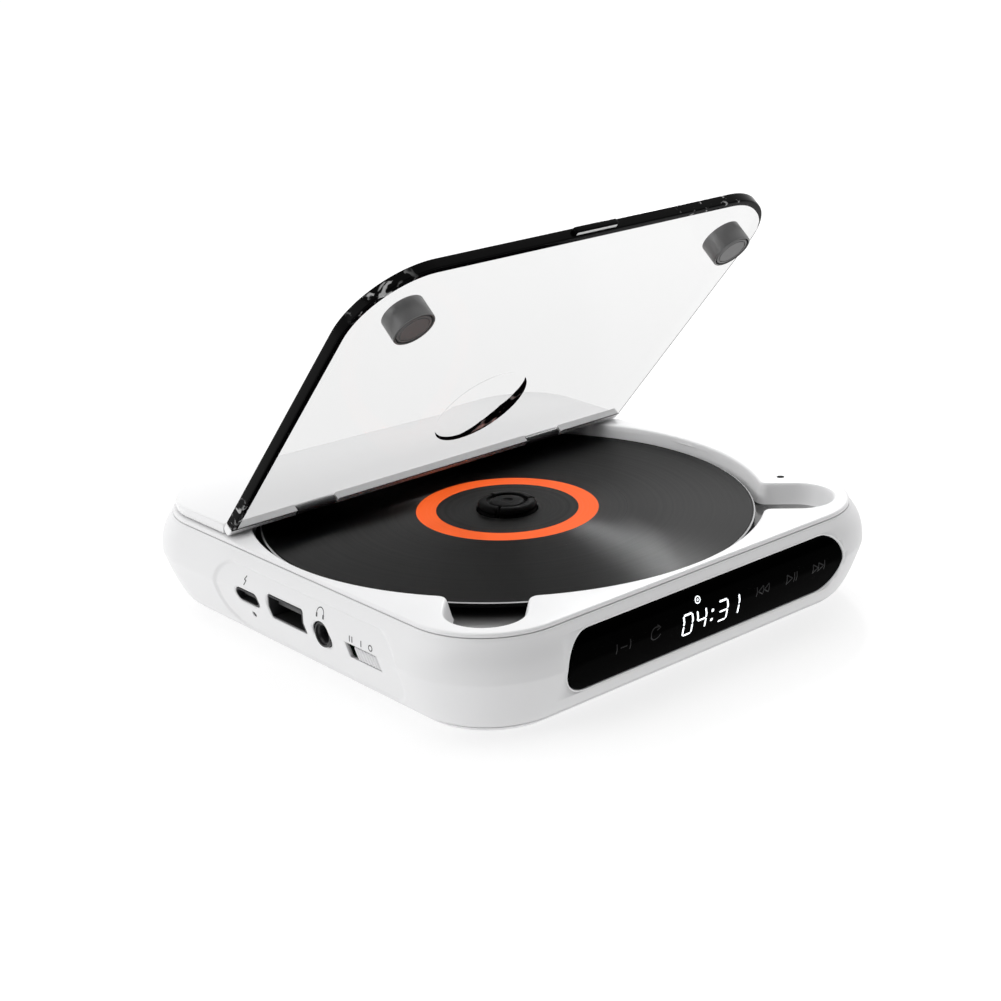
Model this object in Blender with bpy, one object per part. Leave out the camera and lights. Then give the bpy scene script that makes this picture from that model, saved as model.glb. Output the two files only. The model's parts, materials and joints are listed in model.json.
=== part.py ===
"""Portable CD player: a square, pebble-sided body with an open disc bay and a hinged clear lid.

Row frame: the origin is under the middle of the body, on the surface that it stands on.
+X is to the right seen from the display side, +Y is towards the hinge, +Z is up.
Every piece is modelled at its resting place, with the lid standing open.
"""

import math

import bmesh
import bpy
from mathutils import Vector

MM = 0.001
GAP = 0.3 * MM

# Case: the outline where the deck meets the side band, and how far the sides bulge past it.
HALF_WIDTH = 63.85 * MM
HALF_DEPTH = 64.25 * MM
CORNER_RADIUS = 19.9 * MM
BULGE = 3.34 * MM
TUCK_UNDER = 7.84 * MM
FOOT_HEIGHT = 1.0 * MM
BULGE_Z = 14.5 * MM
SEAM_Z = 23.7 * MM
DECK_TOP_Z = 24.65 * MM
CASE_WALL = 1.5 * MM
COVER_THICKNESS = 1.3 * MM

# Disc and the bay that it lies in. The bay and the spindle share the frame's Z axis.
DISC_RADIUS = 60.0 * MM
DISC_HOLE_RADIUS = 7.5 * MM
DISC_THICKNESS = 1.2 * MM
DISC_TOP_Z = 22.1 * MM
BAY_RADIUS = 61.6 * MM
BAY_MOUTH_RADIUS = 62.4 * MM
BAY_WALL = 1.0 * MM
BAY_FLOOR_Z = 19.0 * MM
BAY_FLOOR_THICKNESS = 1.2 * MM
NOTCH_RADIUS = 8.0 * MM
NOTCH_CENTRE = (49.3 * MM, 49.6 * MM)
SENSOR_PLACE = (56.8 * MM, -37.9 * MM)
CUT_TOP_Z = 30.0 * MM

# Lid and the fixed plate behind its hinge.
HINGE_Y = 27.46 * MM
HINGE_Z = 26.2 * MM
LID_OPEN = math.radians(48.85)
LID_THICKNESS = 2.5 * MM
LID_WIDTH = 125.7 * MM
LID_DEPTH = 91.84 * MM
LID_CORNER = 18.8 * MM
HINGE_LEFT = (-43.5 * MM, -32.2 * MM)
HINGE_RIGHT = (30.0 * MM, 41.3 * MM)
PIN_RADIUS = 0.5 * MM
MAGNET_X = 48.3 * MM
MAGNET_FROM_HINGE = 78.9 * MM
CUP_RADIUS = 5.1 * MM
CUP_HEIGHT = 5.2 * MM
DISH_RADIUS = 13.2 * MM
DISH_DEPTH = 1.5 * MM

# Front display window.
LENS_X = 1.5 * MM
LENS_Z = 14.15 * MM
LENS_LENGTH = 87.4 * MM
LENS_HEIGHT = 14.1 * MM
LENS_THICKNESS = 2.0 * MM

# Left side: the recessed panel and what is in it, from the back forwards.
PANEL_Y = (-41.0 * MM, 28.5 * MM)
PANEL_Z = (3.6 * MM, 20.9 * MM)
PANEL_DEPTH = 0.5 * MM
PANEL_CORNER = 8.0 * MM
USB_C_CENTRE = (15.5 * MM, 13.8 * MM)
LIGHT_CENTRE = (15.4 * MM, 9.2 * MM)
USB_A_CENTRE = (0.0 * MM, 14.2 * MM)
JACK_CENTRE = (-13.5 * MM, 13.3 * MM)
SWITCH_Y = (-33.7 * MM, -22.6 * MM)
SWITCH_Z = (10.6 * MM, 14.6 * MM)
KNOB_LENGTH = 7.8 * MM
PORT_BOARD_TOP_Z = 9.4 * MM

# Pickup: the sled runs along +X from its resting place, under the lead screw's control.
LENS_REST_X = 24.0 * MM
RAIL_Z = 14.9 * MM
RAIL_Y = 14.0 * MM
RAIL_X = (11.4 * MM, 61.2 * MM)
SCREW_Y = 20.0 * MM

SCREW_PLACES = {
    "front_left": (-51.5 * MM, -51.9 * MM),
    "front_right": (51.5 * MM, -51.9 * MM),
    "rear_left": (-51.5 * MM, 51.9 * MM),
    "rear_right": (51.5 * MM, 51.9 * MM),
}
FOOT_PLACE = 43.0 * MM


# ---------------------------------------------------------------- helpers


def clear_scene():
    for obj in list(bpy.data.objects):
        bpy.data.objects.remove(obj, do_unlink=True)


def finish(name, colour, roughness, metallic=0.0, transmission=0.0):
    material = bpy.data.materials.new(name)
    material.use_nodes = True
    shader = material.node_tree.nodes["Principled BSDF"]
    shader.inputs["Base Color"].default_value = (*colour, 1.0)
    shader.inputs["Roughness"].default_value = roughness
    shader.inputs["Metallic"].default_value = metallic
    shader.inputs["Transmission Weight"].default_value = transmission
    material.diffuse_color = (*colour, 1.0)
    return material


def circle(centre, radius, sides=24):
    turns = [2 * math.pi * (i + 0.5) / sides for i in range(sides)]
    return [(centre[0] + radius * math.cos(t), centre[1] + radius * math.sin(t)) for t in turns]


def rectangle(low, high, radius=0.0, steps=3):
    """A rectangle's outline, anticlockwise, with its corners rounded when a radius is given."""
    if radius == 0:
        return [low, (high[0], low[1]), high, (low[0], high[1])]
    centres = (
        (high[0] - radius, high[1] - radius, 0.0),
        (low[0] + radius, high[1] - radius, 0.5 * math.pi),
        (low[0] + radius, low[1] + radius, math.pi),
        (high[0] - radius, low[1] + radius, 1.5 * math.pi),
    )
    points = []
    for x, y, start in centres:
        for i in range(steps + 1):
            turn = start + 0.5 * math.pi * i / steps
            points.append((x + radius * math.cos(turn), y + radius * math.sin(turn)))
    return points


def slot(start, end, radius, steps=8):
    """The outline of a slot with full-round ends between two centres."""
    along = math.atan2(end[1] - start[1], end[0] - start[0])
    points = []
    for centre, first in ((end, along - math.pi / 2), (start, along + math.pi / 2)):
        for i in range(steps + 1):
            turn = first + math.pi * i / steps
            points.append((centre[0] + radius * math.cos(turn), centre[1] + radius * math.sin(turn)))
    return points


def case_outline(offset, z):
    """The case's rounded square at a height, grown outwards by an offset from the seam's outline."""
    x = HALF_WIDTH + offset
    y = HALF_DEPTH + offset
    return [(*p, z) for p in rectangle((-x, -y), (x, y), CORNER_RADIUS + offset, 8)]


def side_offset(z):
    """How far the bulging side stands outside the seam's outline at a height."""
    if z >= BULGE_Z:
        rise = (z - BULGE_Z) / (SEAM_Z - BULGE_Z)
        return BULGE * (1 - rise**2.55)
    drop = (BULGE_Z - z) / (BULGE_Z - FOOT_HEIGHT)
    return BULGE - TUCK_UNDER * (1 - (1 - drop) ** (1 / 1.89))


def add_object(name, bm, material, parent=None, helper=False):
    bmesh.ops.recalc_face_normals(bm, faces=bm.faces)
    mesh = bpy.data.meshes.new(name)
    bm.to_mesh(mesh)
    bm.free()
    mesh.shade_smooth()
    mesh.set_sharp_from_angle(angle=math.radians(32))
    obj = bpy.data.objects.new(name, mesh)
    bpy.context.scene.collection.objects.link(obj)
    obj.parent = parent
    if material:
        mesh.materials.append(material)
    if helper:
        obj.hide_render = True
        obj.display_type = "WIRE"
    return obj


def loft(name, loops, material=None, parent=None, helper=False, ring=False):
    """A closed solid through loops of equal length: capped at both ends, or joined round as a ring."""
    bm = bmesh.new()
    rows = [[bm.verts.new(p) for p in loop] for loop in loops]
    pairs = list(zip(rows, rows[1:]))
    if ring:
        pairs.append((rows[-1], rows[0]))
    else:
        bm.faces.new(rows[0])
        bm.faces.new(rows[-1])
    for low, high in pairs:
        for i, corner in enumerate(low):
            following = (i + 1) % len(low)
            bm.faces.new((corner, low[following], high[following], high[i]))
    return add_object(name, bm, material, parent, helper)


def on_axis(u, v, w, axis):
    """The point with outline coordinates u and v and height w along an axis."""
    return {"X": (w, u, v), "Y": (u, w, v), "Z": (u, v, w)}[axis]


def prism(name, outline, low, high, material=None, parent=None, helper=False, axis="Z"):
    loops = [[on_axis(u, v, w, axis) for u, v in outline] for w in (low, high)]
    return loft(name, loops, material, parent, helper)


def block(name, low, high, material=None, parent=None, helper=False):
    return prism(name, rectangle(low[:2], high[:2]), low[2], high[2], material, parent, helper)


def turned(name, profile, centre=(0, 0), sides=32, material=None, parent=None, helper=False, hollow=False):
    """A solid turned about Z from (radius, height) pairs; hollow joins the last pair to the first."""
    loops = [[(*p, z) for p in circle(centre, r, sides)] for r, z in profile]
    return loft(name, loops, material, parent, helper, ring=hollow)


def combine(obj, other, operation):
    change = obj.modifiers.new(f"{operation.lower()} {other.name}", "BOOLEAN")
    change.operation = operation
    change.object = other
    change.solver = "EXACT"


def cut(obj, *cutters):
    for cutter in cutters:
        combine(obj, cutter, "DIFFERENCE")


def join(obj, *others):
    for other in others:
        combine(obj, other, "UNION")


def pivot(name, place):
    """An empty on a joint's axis, for the pieces that move about it."""
    empty = bpy.data.objects.new(name, None)
    empty.location = place
    empty.empty_display_size = 5 * MM
    bpy.context.scene.collection.objects.link(empty)
    return empty


# ---------------------------------------------------------------- case


def make_bottom_cover(white):
    """The underside: a shallow plate with pockets for the feet and sunk holes for the screws."""
    top = FOOT_HEIGHT + COVER_THICKNESS
    heights = (FOOT_HEIGHT, FOOT_HEIGHT + 0.5 * COVER_THICKNESS, top)
    cover = loft("bottom_cover", [case_outline(side_offset(z), z) for z in heights], white)
    for name, place in SCREW_PLACES.items():
        boss = prism(f"cover_boss_{name}", circle(place, 3.2 * MM), top - GAP, 3.3 * MM, helper=True)
        join(cover, boss)
    for name, place in SCREW_PLACES.items():
        profile = ((2.3, 0.5), (2.3, 2.2), (1.2, 2.2), (1.2, 4.0))
        hole = turned(f"cover_hole_{name}", [(r * MM, z * MM) for r, z in profile], place, 20, helper=True)
        cut(cover, hole)
    for name, place in SCREW_PLACES.items():
        foot = foot_place(place)
        pocket = prism(f"foot_pocket_{name}", circle(foot, 4.8 * MM), 0.5 * MM, 1.5 * MM, helper=True)
        cut(cover, pocket)
    return cover


def foot_place(screw_place):
    return tuple(math.copysign(FOOT_PLACE, value) for value in screw_place)


def make_feet(rubber):
    for name, place in SCREW_PLACES.items():
        prism(f"foot_{name}", circle(foot_place(place), 4.5 * MM), 0.0, 1.2 * MM, rubber)


def make_case_screws(steel):
    """Four sunk screws that clamp the cover, band and deck together from below."""
    profile = ((1.0, 1.2), (2.0, 1.2), (2.0, 1.9), (0.9, 1.9), (0.9, 8.0))
    for name, place in SCREW_PLACES.items():
        turned(f"case_screw_{name}", [(r * MM, z * MM) for r, z in profile], place, 12, steel)


def make_side_housing(white):
    """The bulging band round the body, open above and below, with its window and port openings."""
    bottom = FOOT_HEIGHT + COVER_THICKNESS + GAP
    top = SEAM_Z - 0.15 * MM
    heights = [bottom + (BULGE_Z - bottom) * i / 6 for i in range(7)]
    heights += [BULGE_Z + (top - BULGE_Z) * i / 5 for i in range(1, 6)]
    outside = [case_outline(side_offset(z), z) for z in heights]
    inside = [case_outline(side_offset(z) - CASE_WALL, z) for z in reversed(heights)]
    housing = loft("side_housing", outside + inside, white, ring=True)
    bay_clearance = prism(
        "bay_clearance", circle((0, 0), BAY_RADIUS + BAY_WALL + GAP, 96), 17.0 * MM, 24.5 * MM, helper=True
    )
    cut(housing, bay_clearance)
    cut(housing, make_panel_recess())
    cut(housing, window_prism("window_opening", GAP))
    cut(housing, *make_port_openings())
    return housing


def case_form(name, inset):
    """The case's outer form, shrunk all round by an inset, as a guide solid."""
    steps = 14
    bottom = FOOT_HEIGHT + 0.5 * MM
    heights = [bottom + (SEAM_Z - bottom) * i / steps for i in range(steps + 1)]
    return loft(name, [case_outline(side_offset(z) - inset, z) for z in heights], helper=True)


def make_panel_recess():
    """The shallow step in the left side that the ports sit in."""
    outline = rectangle(*zip(PANEL_Y, PANEL_Z), PANEL_CORNER, 6)
    recess = prism("panel_recess", outline, -75 * MM, -50 * MM, helper=True, axis="X")
    cut(recess, case_form("panel_form", PANEL_DEPTH))
    return recess


def window_prism(name, grow):
    half = LENS_LENGTH / 2 - LENS_HEIGHT / 2
    outline = slot((LENS_X - half, LENS_Z), (LENS_X + half, LENS_Z), LENS_HEIGHT / 2 + grow)
    return prism(name, outline, -75 * MM, -58 * MM, helper=True, axis="Y")


def port_hole(name, outline):
    return prism(name, outline, -75 * MM, -60 * MM, helper=True, axis="X")


def stadium(centre, length, height, grow=0.0, steps=6):
    half = (length - height) / 2
    ends = (centre[0] - half, centre[1]), (centre[0] + half, centre[1])
    return slot(*ends, height / 2 + grow, steps)


def centred(centre, length, height):
    low = (centre[0] - length / 2, centre[1] - height / 2)
    high = (centre[0] + length / 2, centre[1] + height / 2)
    return low, high


def make_port_openings():
    return (
        port_hole("usb_c_opening", stadium(USB_C_CENTRE, 9.6 * MM, 3.8 * MM)),
        port_hole("light_opening", circle(LIGHT_CENTRE, 0.9 * MM, 12)),
        port_hole("usb_a_opening", rectangle(*centred(USB_A_CENTRE, 14.2 * MM, 6.5 * MM), 0.6 * MM, 2)),
        port_hole("jack_opening", circle(JACK_CENTRE, 3.4 * MM)),
        port_hole("switch_opening", rectangle(*zip(SWITCH_Y, SWITCH_Z))),
    )


# ---------------------------------------------------------------- deck and disc bay


def notch_centres():
    return {"left": (-NOTCH_CENTRE[0], -NOTCH_CENTRE[1]), "right": (NOTCH_CENTRE[0], -NOTCH_CENTRE[1])}


def notch_outline(end, radius):
    return slot((0.75 * end[0], 0.75 * end[1]), end, radius)


def make_top_deck(white):
    """The white deck: disc bay, two finger notches and four screw posts in one moulding."""
    plate_bottom = SEAM_Z + 0.15 * MM
    inset = CASE_WALL + GAP + 0.1 * MM
    loops = [
        case_outline(-inset, plate_bottom - 1.3 * MM),
        case_outline(-inset, plate_bottom),
        case_outline(0.0, plate_bottom),
        case_outline(-0.1 * MM, DECK_TOP_Z - 0.35 * MM),
        case_outline(-0.6 * MM, DECK_TOP_Z),
    ]
    deck = loft("top_deck", loops, white)
    under = BAY_FLOOR_Z - BAY_FLOOR_THICKNESS
    well = prism("bay_outside", circle((0, 0), BAY_RADIUS + BAY_WALL, 96), under, 24.0 * MM, helper=True)
    join(deck, well)
    for side, end in notch_centres().items():
        outline = notch_outline(end, NOTCH_RADIUS + BAY_WALL)
        join(deck, prism(f"notch_outside_{side}", outline, under, 24.0 * MM, helper=True))
    for name, place in SCREW_PLACES.items():
        join(deck, prism(f"post_{name}", circle(place, 2.6 * MM, 16), 3.6 * MM, 23.0 * MM, helper=True))
    bay_profile = [
        (BAY_RADIUS, BAY_FLOOR_Z),
        (BAY_RADIUS, DECK_TOP_Z - 0.75 * MM),
        (BAY_MOUTH_RADIUS, DECK_TOP_Z),
        (BAY_MOUTH_RADIUS, CUT_TOP_Z),
    ]
    bay = turned("bay_inside", bay_profile, sides=96, helper=True)
    cut(deck, bay)
    for side, end in notch_centres().items():
        scoop = notch_outline(end, NOTCH_RADIUS)
        cut(deck, prism(f"notch_inside_{side}", scoop, BAY_FLOOR_Z, CUT_TOP_Z, helper=True))
    for name, place in SCREW_PLACES.items():
        cut(deck, prism(f"thread_{name}", circle(place, 1.2 * MM, 12), 0.0, 9.0 * MM, helper=True))
    pickup_window = slot((0, 0), (50 * MM, 0), 9 * MM)
    cut(deck, prism("pickup_window", pickup_window, 10 * MM, 20 * MM, helper=True))
    cut(deck, prism("sensor_hole", circle(SENSOR_PLACE, 0.8 * MM, 12), 20 * MM, CUT_TOP_Z, helper=True))
    cut(deck, *make_hinge_pockets())
    return deck


def make_hinge_pockets():
    """Shallow seats in the deck behind the bay's edge for the two hinge brackets."""
    pockets = []
    for side, span in (("left", HINGE_LEFT), ("right", HINGE_RIGHT)):
        low = (span[0] - GAP, HINGE_Y + 20.5 * MM, DECK_TOP_Z - 1.0 * MM)
        high = (span[1] + GAP, HINGE_Y + 28.5 * MM, CUT_TOP_Z)
        pockets.append(block(f"hinge_pocket_{side}", low, high, helper=True))
    return pockets


def make_lid_sensor(dark):
    turned(
        "lid_sensor",
        [(1.4 * MM, 19.5 * MM), (1.4 * MM, 22.2 * MM), (0.5 * MM, 22.2 * MM), (0.5 * MM, 24.3 * MM)],
        SENSOR_PLACE,
        12,
        dark,
    )


def make_catch_plates(steel):
    """Steel discs under the notch floors that the lid's magnets pull on."""
    for side, end in notch_centres().items():
        place = (math.copysign(MAGNET_X, end[0]), HINGE_Y - MAGNET_FROM_HINGE)
        plate = prism(f"catch_plate_{side}", circle(place, 4.8 * MM, 20), 16.4 * MM, 17.5 * MM, steel)
        post = circle(SCREW_PLACES[f"front_{side}"], 2.6 * MM + GAP, 16)
        cut(plate, prism(f"catch_plate_relief_{side}", post, 15 * MM, 19 * MM, helper=True))


# ---------------------------------------------------------------- lid, rear plate and hinge


def make_rear_plate(white):
    """The fixed plate behind the hinge, which bridges the back of the bay."""
    front = HINGE_Y + LID_THICKNESS / 2 + 0.4 * MM
    back = LID_DEPTH - HINGE_Y - 0.8 * MM
    outline = rectangle((-LID_WIDTH / 2, front - LID_CORNER), (LID_WIDTH / 2, back), LID_CORNER, 8)
    plate = prism("rear_plate", outline, DECK_TOP_Z + GAP, DECK_TOP_Z + GAP + 2.4 * MM, white)
    cut(plate, block("plate_front_trim", (-0.1, -0.1, 0.02), (0.1, front, CUT_TOP_Z), helper=True))
    for side, span in (("left", HINGE_LEFT), ("right", HINGE_RIGHT)):
        low = (span[0] - GAP, front - 1 * MM, 20 * MM)
        high = (span[1] + GAP, HINGE_Y + 28.8 * MM, DECK_TOP_Z + GAP + 1.5 * MM)
        cut(plate, block(f"plate_hinge_channel_{side}", low, high, helper=True))
    return plate


def make_hinge_brackets(dark, steel):
    """Two dark hinge brackets behind the bay; each holds a pin across the lid's rear edge."""
    for side, span in (("left", HINGE_LEFT), ("right", HINGE_RIGHT)):
        base_z = DECK_TOP_Z + GAP
        foot_y = HINGE_Y + 20.8 * MM
        arm_low = (span[0], HINGE_Y, base_z)
        arm_high = (span[1], HINGE_Y + 28.2 * MM, base_z + 1.2 * MM)
        bracket = block(f"hinge_bracket_{side}", arm_low, arm_high, dark)
        foot_low = (span[0], foot_y, DECK_TOP_Z - 0.7 * MM)
        foot_high = (span[1], foot_y + 7.4 * MM, base_z + 0.5 * MM)
        foot = block(f"bracket_foot_{side}", foot_low, foot_high, helper=True)
        barrel = circle((HINGE_Y, HINGE_Z), LID_THICKNESS / 2, 16)
        knuckle = prism(f"bracket_knuckle_{side}", barrel, *span, helper=True, axis="X")
        join(bracket, foot, knuckle)
        bore = circle((HINGE_Y, HINGE_Z), PIN_RADIUS + 0.12 * MM, 12)
        cut(bracket, prism(f"bracket_bore_{side}", bore, -0.1, 0.1, helper=True, axis="X"))
        ends = (span[0] - 2.4 * MM, span[1] + 2.4 * MM)
        prism(f"hinge_pin_{side}", circle((HINGE_Y, HINGE_Z), PIN_RADIUS, 12), *ends, steel, axis="X")


def lid_outline():
    """The lid's outline about its hinge axis when closed: x, and y running forwards to the free edge."""
    half = LID_WIDTH / 2
    rounded = rectangle((-half, -LID_DEPTH), (half, LID_CORNER), LID_CORNER, 8)
    return [p for p in rounded if p[1] < -LID_CORNER / 2] + [(half, 0.0), (-half, 0.0)]


def make_lid(clear, grey, dark):
    """The clear lid with its rounded rear edge, pull tab and the dish over the hub, and its two magnets."""
    lid_pivot = pivot("lid_pivot", (0, HINGE_Y, HINGE_Z))
    half = LID_THICKNESS / 2
    points = lid_outline()
    lid = prism("lid_panel", sorted_outline(points), -half, half, clear, lid_pivot)
    ends = (-LID_WIDTH / 2, LID_WIDTH / 2)
    edge = prism("lid_rear_edge", circle((0, 0), half, 16), *ends, None, lid_pivot, True, "X")
    tab_low = (-6.5 * MM, -LID_DEPTH - 0.9 * MM, -0.6 * MM)
    tab_high = (6.5 * MM, -LID_DEPTH + 1.0 * MM, 0.6 * MM)
    tab = block("lid_tab", tab_low, tab_high, None, lid_pivot, True)
    join(lid, edge, tab)
    for side, span in (("left", HINGE_LEFT), ("right", HINGE_RIGHT)):
        low = (span[0] - GAP, -1.8 * MM, -2 * MM)
        high = (span[1] + GAP, 3 * MM, 2 * MM)
        cut(lid, block(f"lid_knuckle_gap_{side}", low, high, None, lid_pivot, True))
        ends = (span[0] - 2.8 * MM, span[1] + 2.8 * MM)
        bore = circle((0, 0), PIN_RADIUS + 0.15 * MM, 12)
        cut(lid, prism(f"lid_pin_bore_{side}", bore, *ends, None, lid_pivot, True, "X"))
    dish_profile = [
        (DISH_RADIUS, -half - 1 * MM),
        (DISH_RADIUS, -half + 0.9 * DISH_DEPTH),
        (0.7 * DISH_RADIUS, -half + DISH_DEPTH),
    ]
    cut(lid, turned("lid_dish", dish_profile, (0, -HINGE_Y), 48, None, lid_pivot, True))
    for side, x in (("left", -MAGNET_X), ("right", MAGNET_X)):
        place = (x, -MAGNET_FROM_HINGE)
        top = -half - 0.05 * MM
        low = top - CUP_HEIGHT
        inner = CUP_RADIUS - 1.0 * MM
        cup_profile = [(CUP_RADIUS, top), (CUP_RADIUS, low), (inner, low), (inner, low + 2.5 * MM)]
        cup = turned(f"magnet_cup_{side}", cup_profile, place, 28, grey, lid_pivot)
        magnet_low = low + 0.35 * MM
        magnet_high = low + 2.2 * MM
        outline = circle(place, inner - 0.25 * MM, 24)
        prism(f"magnet_{side}", outline, magnet_low, magnet_high, dark, lid_pivot)
    lid_pivot.rotation_euler.x = -LID_OPEN


def sorted_outline(points):
    """The points in order of angle about a point inside the convex outline."""
    middle = Vector((0, -LID_DEPTH / 2))
    return sorted(points, key=lambda p: math.atan2(p[1] - middle.y, p[0] - middle.x))


# ---------------------------------------------------------------- display


def make_display(gloss_black, dark, green):
    """The curved black window in the front, and the boards behind it."""
    lens = window_prism("display_lens", 0.0)
    lens.hide_render = False
    lens.display_type = "TEXTURED"
    lens.data.materials.append(gloss_black)
    combine(lens, case_form("lens_front_form", 0.12 * MM), "INTERSECT")
    cut(lens, case_form("lens_back_form", 0.12 * MM + LENS_THICKNESS))
    block("touch_board", (-41 * MM, -60.9 * MM, 8.0 * MM), (44 * MM, -59.9 * MM, 17.0 * MM), green)
    block("display_module", (-12 * MM, -62.9 * MM, 9.6 * MM), (16 * MM, -61.2 * MM, 16.8 * MM), dark)


# ---------------------------------------------------------------- ports and switch


def tube_along_x(name, outer, inner, mouth_x, depth, back, material):
    """A socket: an outline extruded inwards from its mouth, with a blind hole of the inner outline."""
    body = prism(name, outer, mouth_x, mouth_x + depth, material, axis="X")
    cut(body, prism(f"{name}_bore", inner, mouth_x - 5 * MM, mouth_x + depth - back, helper=True, axis="X"))
    return body


def make_ports(steel, dark, green, clear_white):
    mouth = -HALF_WIDTH - BULGE + PANEL_DEPTH + 0.3 * MM
    tube_along_x(
        "usb_c_shell",
        stadium(USB_C_CENTRE, 9.0 * MM, 3.2 * MM),
        stadium(USB_C_CENTRE, 8.4 * MM, 2.6 * MM),
        mouth + 0.6 * MM,
        7.1 * MM,
        0.8 * MM,
        steel,
    )
    tongue = rectangle(*centred(USB_C_CENTRE, 6.7 * MM, 0.7 * MM))
    prism("usb_c_tongue", tongue, mouth + 1.5 * MM, mouth + 6.5 * MM, dark, axis="X")
    tube_along_x(
        "usb_a_shell",
        rectangle(*centred(USB_A_CENTRE, 13.4 * MM, 5.8 * MM), 0.4 * MM, 1),
        rectangle(*centred(USB_A_CENTRE, 12.6 * MM, 5.1 * MM)),
        mouth + 1.0 * MM,
        12.8 * MM,
        1.0 * MM,
        steel,
    )
    tongue_centre = (USB_A_CENTRE[0], USB_A_CENTRE[1] + 1.2 * MM)
    tongue = rectangle(*centred(tongue_centre, 11.1 * MM, 1.8 * MM))
    prism("usb_a_tongue", tongue, mouth + 2.0 * MM, mouth + 12.5 * MM, dark, axis="X")
    barrel = circle(JACK_CENTRE, 3.05 * MM)
    plug_hole = circle(JACK_CENTRE, 1.8 * MM, 16)
    tube_along_x("headphone_jack", barrel, plug_hole, mouth + 0.5 * MM, 12.5 * MM, 1.0 * MM, dark)
    pipe = circle(LIGHT_CENTRE, 0.6 * MM, 12)
    prism("charge_light", pipe, mouth + 1.6 * MM, mouth + 3.3 * MM, clear_white, axis="X")
    board_low = (-62.5 * MM, -38 * MM, PORT_BOARD_TOP_Z - 1.2 * MM)
    block("port_board", board_low, (-49 * MM, 24 * MM, PORT_BOARD_TOP_Z), green)


def make_switch(white, dark):
    """The ribbed sliding knob at its front stop, and the switch body behind it."""
    switch_pivot = pivot("switch_pivot", (-HALF_WIDTH, SWITCH_Y[0], sum(SWITCH_Z) / 2))
    length_low = 0.3 * MM
    outer = -3.25 * MM
    low = (outer, length_low, -1.7 * MM)
    high = (2.1 * MM, length_low + KNOB_LENGTH, 1.7 * MM)
    knob = block("switch_knob", low, high, white, switch_pivot)
    ribs = 6
    pitch = KNOB_LENGTH / (ribs + 0.5)
    for i in range(ribs):
        start = length_low + pitch * (i + 0.5)
        groove_low = (outer - 1 * MM, start, -3 * MM)
        groove_high = (outer + 0.35 * MM, start + 0.45 * pitch, 3 * MM)
        cut(knob, block(f"knob_groove_{i + 1}", groove_low, groove_high, None, switch_pivot, True))
    middle = sum(SWITCH_Z) / 2
    body_low = (-61.3 * MM, SWITCH_Y[0] - 1.0 * MM, middle - 2.6 * MM)
    body_high = (-56.3 * MM, SWITCH_Y[1] + 1.0 * MM, middle + 2.6 * MM)
    block("switch_body", body_low, body_high, dark)


# ---------------------------------------------------------------- disc drive


def make_chassis(steel, rubber):
    """The pressed plate that carries the motor and the pickup's rails, on four rubber dampers."""
    plate_low = (-17 * MM, -20 * MM, 12.0 * MM)
    chassis = block("drive_chassis", plate_low, (62.4 * MM, 16.4 * MM, 13.0 * MM), steel)
    for place, x in (("inner", RAIL_X[0]), ("outer", RAIL_X[1] - 1.2 * MM)):
        tab_low = (x, -17 * MM, 12.5 * MM)
        join(chassis, block(f"rail_tab_{place}", tab_low, (x + 1.2 * MM, 23 * MM, 17 * MM), helper=True))
    shaft_hole = prism("motor_shaft_hole", circle((0, 0), 4 * MM), 10 * MM, 15 * MM, helper=True)
    cut(chassis, shaft_hole)
    for name, y in (("front", -RAIL_Y), ("rear", RAIL_Y), ("screw", SCREW_Y)):
        hole = circle((y, RAIL_Z), 1.2 * MM, 12)
        cut(chassis, prism(f"tab_hole_{name}", hole, 0.0, 0.08, helper=True, axis="X"))
    for name, place in (
        ("front_left", (-13 * MM, -16 * MM)),
        ("front_right", (56.5 * MM, -16 * MM)),
        ("rear_left", (-13 * MM, 12 * MM)),
        ("rear_right", (56.5 * MM, 9 * MM)),
    ):
        profile = ((2.6, 2.6), (2.6, 11.7), (1.6, 11.7), (1.6, 13.3))
        hole = circle(place, 1.9 * MM, 12)
        cut(chassis, prism(f"damper_hole_{name}", hole, 10 * MM, 15 * MM, helper=True))
        turned(f"damper_{name}", [(r * MM, z * MM) for r, z in profile], place, 16, rubber)


def make_spindle(dark, steel, black, disc_print):
    """The motor under the chassis, its turning shaft with hub, and the disc clipped on it."""
    motor_profile = ((10, 5.5), (10, 11.2), (2.2, 11.2), (2.2, 11.7), (1.0, 11.7), (1.0, 7.0))
    turned("spindle_motor", [(r * MM, z * MM) for r, z in motor_profile], sides=28, material=steel)
    prism("spindle_shaft", circle((0, 0), 0.75 * MM, 12), 7.4 * MM, 18.2 * MM, steel)
    hub_profile = (
        (3.0, 13.6),
        (3.0, 19.4),
        (14.0, 19.4),
        (14.0, 20.6),
        (7.25, 20.6),
        (7.25, 21.9),
        (7.0, 22.3),
        (7.25, 22.8),
        (6.7, 23.9),
        (6.1, 24.25),
        (4.2, 24.25),
        (3.9, 23.6),
    )
    hub = turned("spindle_hub", [(r * MM, z * MM) for r, z in hub_profile], sides=36, material=black)
    cut(hub, prism("hub_bore", circle((0, 0), 0.95 * MM, 12), 10 * MM, 18.4 * MM, helper=True))
    for i in range(3):
        turn = math.radians(90 + 120 * i)
        out = Vector((math.cos(turn), math.sin(turn)))
        outline = slot(out * 5.6 * MM, out * 8 * MM, 0.45 * MM, 3)
        cut(hub, prism(f"hub_slit_{i + 1}", outline, 21.4 * MM, 26 * MM, helper=True))
    low = DISC_TOP_Z - DISC_THICKNESS
    rim = 0.2 * MM
    disc_profile = (
        (DISC_HOLE_RADIUS, low),
        (DISC_RADIUS - rim, low),
        (DISC_RADIUS, low + rim),
        (DISC_RADIUS, DISC_TOP_Z - rim),
        (DISC_RADIUS - rim, DISC_TOP_Z),
        (DISC_HOLE_RADIUS, DISC_TOP_Z),
    )
    turned("disc", disc_profile, sides=96, material=disc_print, hollow=True)


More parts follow.
